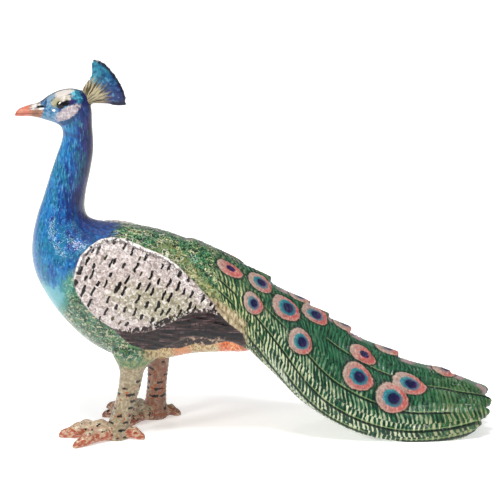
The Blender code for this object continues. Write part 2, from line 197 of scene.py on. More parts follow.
# The carving. The long feathers lie in rows, which follow the angle round the train and meet its end blades.
ROW_ANGLES = (0, 16, 45, 70, 91, 112, 180)
ROW_COUNTS = (0.5, 1, 2, 3, 4, 5, 6.5)
FRONT_ROWS = 0.6           # how many more rows there are near the wing, as a share
SHAFT_PLACE = 0.5          # share of a row above its shaft
BARB_PITCH = 1.0
BARB_SLANT = 0.65          # how far the barbs below a shaft run back for each unit down
BARB_LEAN = 0.10           # the same above a shaft
BARB_DEPTH = 0.08
SHAFT_HEIGHT = 0.14
ROW_STEP = 0.20
SCALE_PITCH = 2.1
CREST_SHAFTS = 9

SPOT_RISE = 0.10           # how far an eyespot stands up, and how far its dark heart sinks in it
HEART_SINK = 0.08
SCALE_DEPTH = 0.14         # the scale-like feathers of the back, and those of the wing coverts
COVERT_DEPTH = 0.07
QUILL_DEPTH = 0.09         # the flight feathers
QUILL_PITCH = 1.25
CREST_RIB_DEPTH = 0.035
LEG_RING_DEPTH = 0.06
LEG_RING_PITCH = 0.95
MOUTH_DEPTH = 0.13
NOSTRIL_DEPTH = 0.18
EYE_HEART = 2.9            # the dark heart of an eyespot is this much smaller than its rim

CHART_ROWS = 300           # how finely the body and the train are mapped
CHART_COLUMNS = 181

GLAZE_IOR = 1.4
GLAZE_ROUGHNESS = 0.12
GLAZE_UNEVENNESS = 0.1
BRUSH_STRENGTH = 0.3       # the paint's own relief: how strong it is, and its depth in figure units
BRUSH_DEPTH = 0.1
DAB_EDGE = (1.16, 0.76)    # a dab of paint goes from bare to full between these shares of its width

# From figure coordinates to the frame's, and the camera: its distance, its degrees above the floor, the
# place it looks at, and the figure units to a pixel there
FIGURE_SHIFT = (-0.593, 0.28)
POSE_VIEW = dict(distance=450.0, height=15.0, side=-0.7336, up=39.2755, pixel=0.2096)
IMAGE_WIDTH = 500
LOOK_AT = (0.0, 0.0, 0.035)
FLOOR_HALF = 4.0
FLOOR_DROP = 0.00002       # keeps the floor from showing through the soles
SOFT_BOX = ((0.0, -0.15, 1.1), 1.1)


def paint(red, green, blue):
    """A paint named by its screen colour, 0 to 255, in the linear values that shaders use."""
    shares = (value / 255 for value in (red, green, blue))
    return tuple(s / 12.92 if s <= 0.04045 else ((s + 0.055) / 1.055) ** 2.4 for s in shares)


def smooth(rows, places):
    """Values of a smooth curve through rows of numbers, at places from 0 to 1 along it."""
    rows = np.array(rows, dtype=float)
    spans = np.linalg.norm(np.diff(rows, axis=0), axis=1)
    knots = np.concatenate(([0.0], np.cumsum(spans))) / spans.sum()
    slopes = np.gradient(rows, knots, axis=0)
    places = np.clip(np.atleast_1d(places), 0, 1)
    index = np.clip(np.searchsorted(knots, places, side="right") - 1, 0, len(rows) - 2)
    span = (knots[index + 1] - knots[index])[:, None]
    t = ((places - knots[index])[:, None]) / span
    start = (2 * t**3 - 3 * t**2 + 1) * rows[index] + (t**3 - 2 * t**2 + t) * span * slopes[index]
    end = (3 * t**2 - 2 * t**3) * rows[index + 1] + (t**3 - t**2) * span * slopes[index + 1]
    return start + end


def rise(values, low, high):
    """Goes smoothly from 0 to 1 as the values go from low to high."""
    t = np.clip((values - low) / (high - low), 0, 1)
    return t * t * (3 - 2 * t)


def body_surface(places, angles):
    """Points on the neck and body. Angle 0 is along the nape and back, 180 along throat and belly."""
    rings = smooth([(*front, *back, half) for front, back, half in BODY_RINGS], places)
    front, back, half = rings[:, 0:2], rings[:, 2:4], rings[:, 4]
    swung = ((back - front) / 2)[:, None, :] * np.cos(angles)[None, :, None]
    flat = (front + back)[:, None, :] / 2 + swung
    across = half[:, None] * np.sin(angles)[None, :]
    return np.stack((flat[..., 0], across, flat[..., 1]), axis=-1)


def train_surface(places, angles):
    """Points on the train. Angle 0 is along its ridge, 180 along its underside."""
    rings = smooth([(*top, *foot, half, flare) for top, foot, half, flare in TRAIN_RINGS], places)
    top, foot, half, flare = rings[:, 0:2], rings[:, 2:4], rings[:, 4], rings[:, 5]
    share = ((1 + np.cos(angles))[None, :] / 2) ** flare[:, None]
    flat = foot[:, None, :] + (top - foot)[:, None, :] * share[..., None]
    across = half[:, None] * np.sin(angles)[None, :]
    return np.stack((flat[..., 0], across, flat[..., 1]), axis=-1)


def turn(count):
    """Angles all the way round."""
    return np.arange(count) * 2 * math.pi / count


class Clay:
    """Closed forms in one heap of points and faces, before they are fused."""

    def __init__(self):
        self.points = []
        self.faces = []
        self.count = 0

    def loft(self, rings):
        """Adds a closed form through rings of points. Gives its points."""
        rings = np.array(rings, dtype=float)
        rows, columns = rings.shape[:2]
        index = self.count + np.arange(rows * columns).reshape(rows, columns)
        after = np.roll(index, -1, axis=1)
        quads = np.stack((index[:-1], after[:-1], after[1:], index[1:]), axis=-1).reshape(-1, 4)
        self.faces += quads.tolist() + [index[0][::-1].tolist(), index[-1].tolist()]
        points = rings.reshape(-1, 3)
        self.points.append(points)
        self.count += rows * columns
        return points


def plate_width(share):
    """Half width of a feather along its length, as a share of its widest: narrow root, round tip."""
    tip = 0.72
    if share > tip:
        return math.sqrt(max(0.0, 1 - ((share - tip) / (1 - tip)) ** 2))
    return 0.5 + 0.5 * math.sin(math.pi / 2 * share / tip)


def train_frame(place, angle):
    """A point on the train, its outward normal, and how fast the surface runs along and around."""
    near = 0.004
    grid = train_surface((place - near, place, place + near), np.array((angle - near, angle, angle + near)))
    along = (grid[2, 1] - grid[0, 1]) / (2 * near)
    across = (grid[1, 2] - grid[1, 0]) / (2 * near)
    normal = np.cross(along, across)
    return grid[1, 1], normal / np.linalg.norm(normal), np.linalg.norm(along), np.linalg.norm(across)


def feather_rings(tip, angle, length, half, step):
    """One train feather: a leaf that lies on the train and stands proud of it at its tip."""
    rows, columns = 18, 12
    angle = math.radians(angle)
    pace = train_frame(tip, abs(angle))[2]
    rings = []
    for share in np.linspace(0, 1, rows + 1):
        place = tip - (1 - share) * length / pace
        stretch = train_frame(place, angle)[3]
        width = max(half * plate_width(min(share, 0.985)), 0.25)
        upper, lower = [], []
        for offset in np.linspace(-1, 1, columns + 1):
            point, normal, _, _ = train_frame(place, angle + offset * width / stretch)
            crown = 1 - 0.55 * offset**2
            upper.append(point + normal * (step / FIGURE_UNIT) * (1.3 * share - 0.3) * crown)
            lower.append(point - normal * BURY)
        rings.append(upper + lower[::-1])
    return rings


def end_feather_rings(angle, reach):
    """A rounded blade that leaves the train's surface and ends past the train."""
    frames = [train_frame(place, math.radians(angle)) for place in (0.76, 0.84, 0.92, 0.985)]
    lifts = (-1.5, -0.9, -0.5, 0.1)
    spine = [point + normal * lift for (point, normal, _, _), lift in zip(frames, lifts)]
    heading = (spine[-1] - spine[-2]) / np.linalg.norm(spine[-1] - spine[-2])
    spine.append(spine[-1] + heading * reach)
    normals = [frame[1] for frame in frames] + [frames[-1][1]]
    rows = np.hstack((spine, normals))
    shares = np.concatenate((np.linspace(0, 0.72, 12), 1 - 0.28 * np.cos(np.linspace(0.1, math.pi / 2, 12))))
    rings = []
    for share, row in zip(shares, smooth(rows, shares)):
        centre, normal = row[:3], row[3:]
        side = np.cross(heading, normal)
        round_off = math.sqrt(max(0.03, 1 - max(0.0, (share - 0.72) / 0.28) ** 2))
        wide = END_WIDTH * (0.52 + 0.48 * min(1.0, share / 0.7)) * round_off
        thick = END_THICKNESS * (0.5 + 0.5 * round_off)
        ring = [centre + side * wide * math.cos(a) + normal * thick * math.sin(a) for a in turn(24)]
        rings.append(ring)
    return rings


def leg_rings(leg_x, side, lean):
    """Rings down one leg, from inside the belly through the feathered thigh to the foot."""
    shank = SHANK_RADIUS / FIGURE_UNIT
    rings = []
    for height, bend, long_share, wide_share in smooth(LEG_PROFILE, np.linspace(0, 1, 50)):
        x, y = leg_x - lean * bend, side * LEG_SPREAD
        long, wide = shank * long_share, shank * wide_share
        rings.append([(x + long * math.cos(a), y + wide * math.sin(a), height) for a in turn(28)])
    return rings


def toe_rings(root, heading, length, thick):
    """Rings along one toe: an arched finger with three joints that ends in a claw on the ground."""
    heading = math.radians(heading)
    forward = np.array((math.cos(heading), math.sin(heading), 0.0))
    side = np.array((-forward[1], forward[0], 0.0))
    up = np.array((0.0, 0.0, 1.0))
    rings = []
    for share in np.linspace(0, 1, 48):
        taper = (1 - 0.25 * share) * math.sqrt(1 - 0.9 * max(0.0, (share - 0.7) / 0.3) ** 2)
        joints = 1 + 0.1 * math.cos(2 * math.pi * 3 * share)
        radius = thick * taper * joints
        arch = 0.55 * math.sin(math.pi * min(1.0, share * 1.15)) if share < 0.87 else 0.0
        centre = np.array(root) + forward * length * share
        centre[2] = radius * 0.85 + arch - SINK * 0.6
        rings.append([centre + (side * math.cos(a) + up * math.sin(a)) * radius for a in turn(20)])
    return rings


def crest_reach(swing):
    """How far the crest reaches from its hub in directions given in degrees above the rear."""
    return CREST_RADIUS + CREST_PEAK * rise(swing, 30, 78)


def crest_rings():
    """The crest: an upright fan of feathers on the back of the head, in the middle plane."""
    half_thick = CREST_THICKNESS / FIGURE_UNIT / 2
    a = turn(96)
    rings = []
    for share, front, rear, thick in smooth(CREST_SECTIONS, np.linspace(0, 1, 70)):
        swing = (front + rear) / 2 + (front - rear) / 2 * np.cos(a)
        reach = crest_reach(swing) * share
        x = CREST_HUB[0] + reach * np.cos(np.radians(swing))
        z = CREST_HUB[1] + reach * np.sin(np.radians(swing))
        rings.append(np.stack((x, half_thick * thick * np.sin(a), z), axis=-1))
    return rings


def ball_rings(centre, radius):
    """Rings of a small ball."""
    rings = []
    for tilt in np.linspace(-1.45, 1.45, 14):
        ring = [(radius * math.cos(tilt) * math.cos(a), radius * math.cos(tilt) * math.sin(a),
                 radius * math.sin(tilt)) for a in turn(20)]
        rings.append(np.array(ring) + centre)
    return rings


def model_forms():
    """All forms of the bird in one heap, and the points of each kind of form."""
    clay = Clay()
    kinds = {"body": [clay.loft(body_surface(np.linspace(0, 1, 260), turn(120)))]}
    kinds["train"] = [clay.loft(train_surface(np.linspace(0, 1, 180), turn(140)))]
    for tip, length, half in RIDGE_FEATHERS:
        kinds["train"].append(clay.loft(feather_rings(tip, 0, length, half, RIDGE_STEP)))
    for tip, angle, length, half in FLANK_FEATHERS:
        for side in (-1, 1):
            kinds["train"].append(clay.loft(feather_rings(tip, side * angle, length, half, PLATE_STEP)))
    for angle, reach in END_FEATHERS:
        for turned in sorted({-angle, angle}):
            kinds["train"].append(clay.loft(end_feather_rings(turned, reach)))
    kinds["leg"], kinds["toe"] = [], []
    for side, leg_x, lean, toes in LEGS:
        kinds["leg"].append(clay.loft(leg_rings(leg_x, side, lean)))
        hub = (leg_x - lean * 1.1, side * LEG_SPREAD, 0.0)
        for heading, length, thick in toes:
            rings = toe_rings(hub, heading, length, TOE_RADIUS / FIGURE_UNIT * thick)
            kinds["toe"].append(clay.loft(rings))
    kinds["crest"] = [clay.loft(crest_rings())]
    x, y, z = EYE_PLACE
    kinds["eye"] = [clay.loft(ball_rings((x, side * y, z), EYE_RADIUS / FIGURE_UNIT)) for side in (-1, 1)]
    return clay, {kind: np.vstack(groups) for kind, groups in kinds.items()}


def fuse(clay, grain):
    """One closed skin around all forms: its points, in figure units, and its mesh."""
    heap = bpy.data.meshes.new("clay")
    heap.from_pydata((np.vstack(clay.points)).tolist(), [], clay.faces)
    form = bpy.data.objects.new("clay", heap)
    bpy.context.scene.collection.objects.link(form)
    remesh = form.modifiers.new("fuse", "REMESH")
    remesh.mode = "VOXEL"
    remesh.voxel_size = grain
    bpy.context.view_layer.update()
    skin = bpy.data.meshes.new_from_object(form.evaluated_get(bpy.context.evaluated_depsgraph_get()))
    bpy.data.objects.remove(form)
    bpy.data.meshes.remove(heap)
    return skin


def points_of(mesh):
    found = np.empty(len(mesh.vertices) * 3, np.float32)
    mesh.vertices.foreach_get("co", found)
    return found.reshape(-1, 3).astype(float)


def normals_of(mesh):
    found = np.empty(len(mesh.vertices) * 3, np.float32)
    mesh.vertex_normals.foreach_get("vector", found)
    return found.reshape(-1, 3).astype(float)


def put_points(mesh, points):
    mesh.vertices.foreach_set("co", points.astype(np.float32).ravel())
    mesh.update()


def edges_of(mesh):
    found = np.empty(len(mesh.edges) * 2, np.int32)
    mesh.edges.foreach_get("vertices", found)
    return found.reshape(-1, 2)


def soften(values, edges, rounds, share=0.5):
    """Moves each point's values towards the mean of its neighbours'."""
    values = values.reshape(len(values), -1).astype(float)
    count = np.bincount(edges.ravel(), minlength=len(values))[:, None]
    for _ in range(rounds):
        total = np.empty_like(values)
        for i in range(values.shape[1]):
            total[:, i] = (np.bincount(edges[:, 0], values[edges[:, 1], i], len(values))
                           + np.bincount(edges[:, 1], values[edges[:, 0], i], len(values)))
        values += share * (total / count - values)
    return values


def dot(these, those):
    """The dot product of each row of one table with the same row of another."""
    return np.einsum("ij,ij->i", these, those)


class Chart:
    """A dense map of a surface, which tells the place and angle nearest to any point."""

    def __init__(self, surface, rows, columns):
        self.places = np.linspace(0, 1, rows)
        self.angles = np.linspace(-math.pi, math.pi, columns)
        self.grid = surface(self.places, self.angles)
        self.tree = KDTree(rows * columns)
        for i, point in enumerate(self.grid.reshape(-1, 3)):
            self.tree.insert(point, i)
        self.tree.balance()
        self.runs = np.gradient(self.grid, axis=(0, 1))

    def locate(self, points):
        """Row and column of the map, with fractions, nearest to each point. Rows go on past the last ring."""
        index = np.array([self.tree.find(point)[1] for point in points])
        row, column = np.divmod(index, len(self.angles))
        delta = points - self.grid[row, column]
        along, across = self.runs[0][row, column], self.runs[1][row, column]
        a, b, c = dot(along, along), dot(along, across), dot(across, across)
        u, v = dot(along, delta), dot(across, delta)
        whole = np.maximum(a * c - b * b, 1e-9)
        past = np.where(row == len(self.places) - 1, 60, 0.6)
        row = row + np.clip((c * u - b * v) / whole, -0.6, past)
        column = column + np.clip((a * v - b * u) / whole, -0.6, 0.6)
        return np.maximum(row, 0), np.clip(column, 0, len(self.angles) - 1)

    def read(self, table, row, column):
        """Values of a table on the map at rows and columns with fractions."""
        top = np.minimum(row.astype(int), len(self.places) - 2)
        left = np.minimum(column.astype(int), len(self.angles) - 2)
        down, right = row - top, column - left
        upper = table[top, left] * (1 - right) + table[top, left + 1] * right
        lower = table[top + 1, left] * (1 - right) + table[top + 1, left + 1] * right
        return upper * (1 - down) + lower * down


def outline_depth(points, outline):
    """How deep points lie inside a closed outline seen from the side: more than 0 inside, less outside."""
    curve = smooth(outline + outline[:1], np.linspace(0, 1, 2 * len(outline), endpoint=False))
    spots = points[:, (0, 2)]
    best = np.full(len(points), 1e9)
    inside = np.zeros(len(points), bool)
    for start, end in zip(curve, np.roll(curve, -1, axis=0)):
        run = end - start
        share = np.clip((spots - start) @ run / (run @ run), 0, 1)
        best = np.minimum(best, np.linalg.norm(spots - start - share[:, None] * run, axis=1))
        crosses = (start[1] > spots[:, 1]) != (end[1] > spots[:, 1])
        at = start[0] + (spots[:, 1] - start[1]) * run[0] / (run[1] if run[1] else 1e-9)
        inside ^= crosses & (spots[:, 0] < at)
    return np.where(inside, best, -best)


def nearest_kind(points, kinds):
    """For each kind of form, 1 at the points that lie nearest to it and 0 elsewhere."""
    names = list(kinds)
    tree = KDTree(sum(len(group) for group in kinds.values()))
    for number, name in enumerate(names):
        for point in kinds[name]:
            tree.insert(point, number)
    tree.balance()
    nearest = np.array([tree.find(point)[1] for point in points])
    return {name: (nearest == number).astype(float) for number, name in enumerate(names)}


def train_rows(angles, along):
    """The row of long feathers at each angle in degrees round the train and distance along it."""
    rows = np.interp(np.abs(angles), ROW_ANGLES, ROW_COUNTS)[None, :]
    return (rows - 0.5) * (1 + FRONT_ROWS * (1 - rise(along, 8, 45)))[:, None] + 0.5


def survey(points, kinds, edges):
    """Everything that carving and painting need to know at each point of the skin."""
    body = Chart(body_surface, CHART_ROWS, CHART_COLUMNS)
    column = body.locate(points)[1]
    marks = {"nape": np.cos(np.interp(column, np.arange(CHART_COLUMNS), body.angles))}
    train = Chart(train_surface, CHART_ROWS, CHART_COLUMNS)
    row, column = train.locate(points)
    middle = len(train.angles) // 2
    steps = np.linalg.norm(np.diff(train.grid[:, middle:], axis=1), axis=2)
    half_arc = np.hstack((np.zeros((len(steps), 1)), np.cumsum(steps, axis=1)))
    arc = np.hstack((half_arc[:, :0:-1], half_arc))
    lines = np.linalg.norm(np.diff(train.grid, axis=0), axis=2)[:, (middle * 4) // 3]
    reach = np.concatenate(([0.0], np.cumsum(lines)))
    half_rows = train_rows(np.degrees(train.angles[middle:]), reach)
    half_width = steps / np.diff(half_rows, axis=1)
    half_width = np.hstack((half_width, half_width[:, -1:]))
    past = np.maximum(row - (len(reach) - 1), 0) * (reach[-1] - reach[-2])
    marks["along"] = np.interp(row, np.arange(len(reach)), reach) + past
    marks["across"] = train.read(arc, row, column)
    marks["strand"] = train.read(np.hstack((half_rows[:, :0:-1], half_rows)), row, column)
    marks["strand_width"] = train.read(np.hstack((half_width[:, :0:-1], half_width)), row, column)
    marks.update(eyespot_marks(train, arc, reach, marks["along"], marks["across"]))
    marks["wing"] = outline_depth(points, WING_OUTLINE)
    marks["flight"] = outline_depth(points, FLIGHT_OUTLINE)
    flank = rise(np.abs(points[:, 1]), 3.0, 3.4)
    for name in ("wing", "flight"):
        marks[name] = marks[name] * flank - 3 * (1 - flank)
    near = nearest_kind(points, kinds)
    for name, rounds in (("train", 12), ("leg", 8), ("toe", 3), ("crest", 2), ("eye", 1)):
        marks[name] = soften(near[name], edges, rounds)[:, 0]
    return marks


def eyespot_marks(train, arc, reach, along, across):
    """Where each point lies in the nearest eyespot, and how that one is coloured."""
    middle = len(train.angles) // 2
    ring, core, tip, red, blue = (np.full(len(along), value) for value in (9.0, 9.0, 0.0, 0.0, 0.0))
    for place, angle, long, wide, redness, blueness in EYESPOTS:
        eye_row = place * (len(train.places) - 1)
        eye_along = np.interp(eye_row, np.arange(len(reach)), reach)
        eye_across = np.interp(math.radians(angle), train.angles[middle:], arc[int(eye_row)][middle:])
        x, y = (along - eye_along) / long, (across - eye_across) / wide
        far = np.hypot(x, y * (1 + 0.18 * x))
        near = far < ring
        ring = np.minimum(ring, far)
        core = np.minimum(core, np.hypot((x - 0.05) * 1.1, y) * EYE_HEART)
        tip = np.where(near, x, tip)
        red, blue = np.where(near, redness, red), np.where(near, blueness, blue)
    return {"ring": ring, "core": core, "tip": tip, "red": red, "blue": blue}


def carve(points, marks):
    """How far each point of the skin is raised by the carving, in figure units."""
    x, y, z = points.T
    bare = (1 - marks["leg"]) * (1 - marks["toe"]) * (1 - marks["crest"]) * (1 - marks["eye"])
    bare = bare * rise(z, 15.0, 18.0) + marks["train"] * (1 - rise(z, 15.0, 18.0))
    wing, flight = rise(marks["wing"], -0.1, 0.35), rise(marks["flight"], -0.1, 0.35)
    lift = WING_STEP / FIGURE_UNIT * wing * bare
    lift += FLIGHT_STEP / FIGURE_UNIT * flight * (1 - wing) * bare

    share = marks["strand"] % 1.0
    shaft = (share - SHAFT_PLACE) * marks["strand_width"]
    phase = marks["along"] - BARB_SLANT * np.maximum(shaft, 0) + BARB_LEAN * np.maximum(-shaft, 0)
    sway = 0.7 * np.sin(marks["across"] * 0.9 + marks["along"] * 0.7)
    barbs = np.sin(2 * math.pi * phase / BARB_PITCH + sway)
    rachis = np.exp(-((shaft / 0.26) ** 2))
    step = ROW_STEP * (share - 0.5) * (1 - rise(share, 0.9, 1.0))
    tail = marks["train"] * rise(marks["along"], 6, 13)
    plumes = tail * (1 - wing) * (1 - flight) * rise(marks["strand"], 6.4, 5.4)
    feathered = BARB_DEPTH * barbs * (1 - rachis) + SHAFT_HEIGHT * rachis + step
    inside = rise(marks["ring"], 1.05, 0.93)
    spot = SPOT_RISE * rise(marks["ring"], 1.0, 0.8) - HEART_SINK * rise(marks["core"], 1.0, 0.7)
    lift += plumes * (feathered * (1 - inside) + spot * inside)

    mottled = bare * (1 - wing) * (1 - flight) * rise(x, -34, -28) * (1 - tail)
    lift += mottled * SCALE_DEPTH * scales(x * 0.9 - z * 0.42, np.abs(y) + 0.5 * z)
    coverts = wing * bare * rise(marks["wing"], 0.3, 1.5)
    lift += coverts * COVERT_DEPTH * scales(x * 0.8 - z * 0.6, z * 0.8 + x * 0.6)
    primaries = flight * (1 - wing) * bare
    lift += primaries * QUILL_DEPTH * np.sin((z + 0.32 * x) * 2 * math.pi / QUILL_PITCH)

    swing = np.arctan2(z - CREST_HUB[1], x - CREST_HUB[0])
    fan = np.hypot(z - CREST_HUB[1], x - CREST_HUB[0])
    lift += marks["crest"] * CREST_RIB_DEPTH * np.cos(CREST_SHAFTS * 4.6 * swing) * rise(fan, 3.0, 4.5)
    rings = LEG_RING_DEPTH * np.sin(2 * math.pi * z / LEG_RING_PITCH) * rise(z, 13.5, 11.5)
    lift += marks["leg"] * (1 - marks["toe"]) * rings
    return lift


def scales(along, across):
    """Overlapping scales in rows: each slopes up to its round tip, then drops."""
    row = np.floor(across / SCALE_PITCH * 1.25)
    shift = 0.5 * (row % 2)
    side = (across / SCALE_PITCH * 1.25 - row - 0.5) * 2
    run = (along / SCALE_PITCH + shift - 0.18 * side**2) % 1.0
    return run * (1 - rise(run, 0.86, 1.0)) - 0.4


def carve_head(points):
    """The line of the mouth and the nostrils, cut into the beak."""
    x, y, z = points.T
    beak = rise(-42.6 - x, 0, 0.6)
    mouth = np.exp(-(((z - 68.55 - 0.05 * (x + 46)) / 0.16) ** 2))
    nostril = np.exp(-(((x + 43.9) / 0.55) ** 2 + ((z - 70.0) / 0.3) ** 2)) * (np.abs(y) > 0.5)
    return -beak * MOUTH_DEPTH * mouth - NOSTRIL_DEPTH * nostril


class Wire:
    """A number that a shader works out. Expressions on it add Math nodes."""

    def __init__(self, sheet, socket):
        self.sheet = sheet
        self.socket = socket

    def maths(self, operation, *others):
        return self.sheet.maths(operation, self, *others)

    def __add__(self, other):
        return self.maths("ADD", other)

    __radd__ = __add__

    def __sub__(self, other):
        return self.maths("SUBTRACT", other)

    def __rsub__(self, other):
        return self.sheet.maths("SUBTRACT", other, self)

    def __mul__(self, other):
        return self.maths("MULTIPLY", other)

    __rmul__ = __mul__

    def __truediv__(self, other):
        return self.maths("DIVIDE", other)

    def __rtruediv__(self, other):
        return self.sheet.maths("DIVIDE", other, self)

    def __neg__(self):
        return self.maths("MULTIPLY", -1.0)

    def __abs__(self):
        return self.maths("ABSOLUTE")

    def least(self, other):
        return self.maths("MINIMUM", other)

    def most(self, other):
        return self.maths("MAXIMUM", other)

    def fraction(self):
        return self.maths("FRACT")

    def floor(self):
        return self.maths("FLOOR")

    def wave(self):
        """A sine with one turn for each whole number."""
        return (self * (2 * math.pi)).maths("SINE")

    def rise(self, low, high):
        """Goes smoothly from 0 to 1 as the number goes from low to high, which may be the lower one."""
        settings = {"interpolation_type": "SMOOTHSTEP"}
        return self.sheet.node("ShaderNodeMapRange", settings, {0: self, 1: low, 2: high})


class Sheet:
    """A material's nodes, with one method that adds any of them."""

    def __init__(self, name):
        self.material = bpy.data.materials.new(name)
        self.material.use_nodes = True
        self.tree = self.material.node_tree
        self.tree.nodes.clear()

    def node(self, kind, settings=None, inputs=None, output=0):
        """Adds a node: its settings first, then its sockets' values or links. Gives one of its outputs."""
        made = self.tree.nodes.new(kind)
        for name, value in (settings or {}).items():
            if name == "stops":
                self.set_stops(made.color_ramp, value)
            else:
                setattr(made, name, value)
        for name, value in (inputs or {}).items():
            socket = made.inputs[name]
            if isinstance(value, Wire):
                self.tree.links.new(value.socket, socket)
            elif socket.type == "RGBA":
                socket.default_value = (*value, 1.0)
            else:
                socket.default_value = value
        return Wire(self, made.outputs[output]) if len(made.outputs) else None

    @staticmethod
    def set_stops(ramp, stops):
        while len(ramp.elements) < len(stops):
            ramp.elements.new(0.5)
        for element, (place, colour) in zip(ramp.elements, stops):
            element.position = place
            element.color = (*colour, 1.0)

    def maths(self, operation, *values):
        return self.node("ShaderNodeMath", {"operation": operation}, dict(enumerate(values)))

    def mark(self, name):
        """A number that the skin holds at each point."""
        return self.node("ShaderNodeAttribute", {"attribute_name": name}, output="Fac")

    def join(self, x, y, z=0.0):
        return self.node("ShaderNodeCombineXYZ", None, {0: x, 1: y, 2: z})

    def vectors(self, operation, *values):
        return self.node("ShaderNodeVectorMath", {"operation": operation}, dict(enumerate(values)))

    def parts(self, vector):
        """The three numbers of a vector."""
        return [self.node("ShaderNodeSeparateXYZ", None, {0: vector}, output=i) for i in range(3)]

    def noise(self, vector, scale=1.0, detail=2.0, rough=0.5):
        """Cloudy noise from about 0.2 to 0.8, mean 0.5."""
        inputs = {"Vector": vector, "Scale": scale, "Detail": detail, "Roughness": rough}
        return self.node("ShaderNodeTexNoise", None, inputs)

    def cover(self, below, above, amount):
        """One colour laid over another."""
        inputs = {0: amount, 6: below, 7: above}
        return self.node("ShaderNodeMix", {"data_type": "RGBA"}, inputs, output=2)

    def coats(self, colour, *coats):
        """Coats laid over a colour one after another: each a colour, and where and how thickly it goes."""
        for above, amount in coats:
            colour = self.cover(colour, above, amount)
        return colour

    def ramp(self, number, stops):
        return self.node("ShaderNodeValToRGB", {"stops": stops}, {0: number})


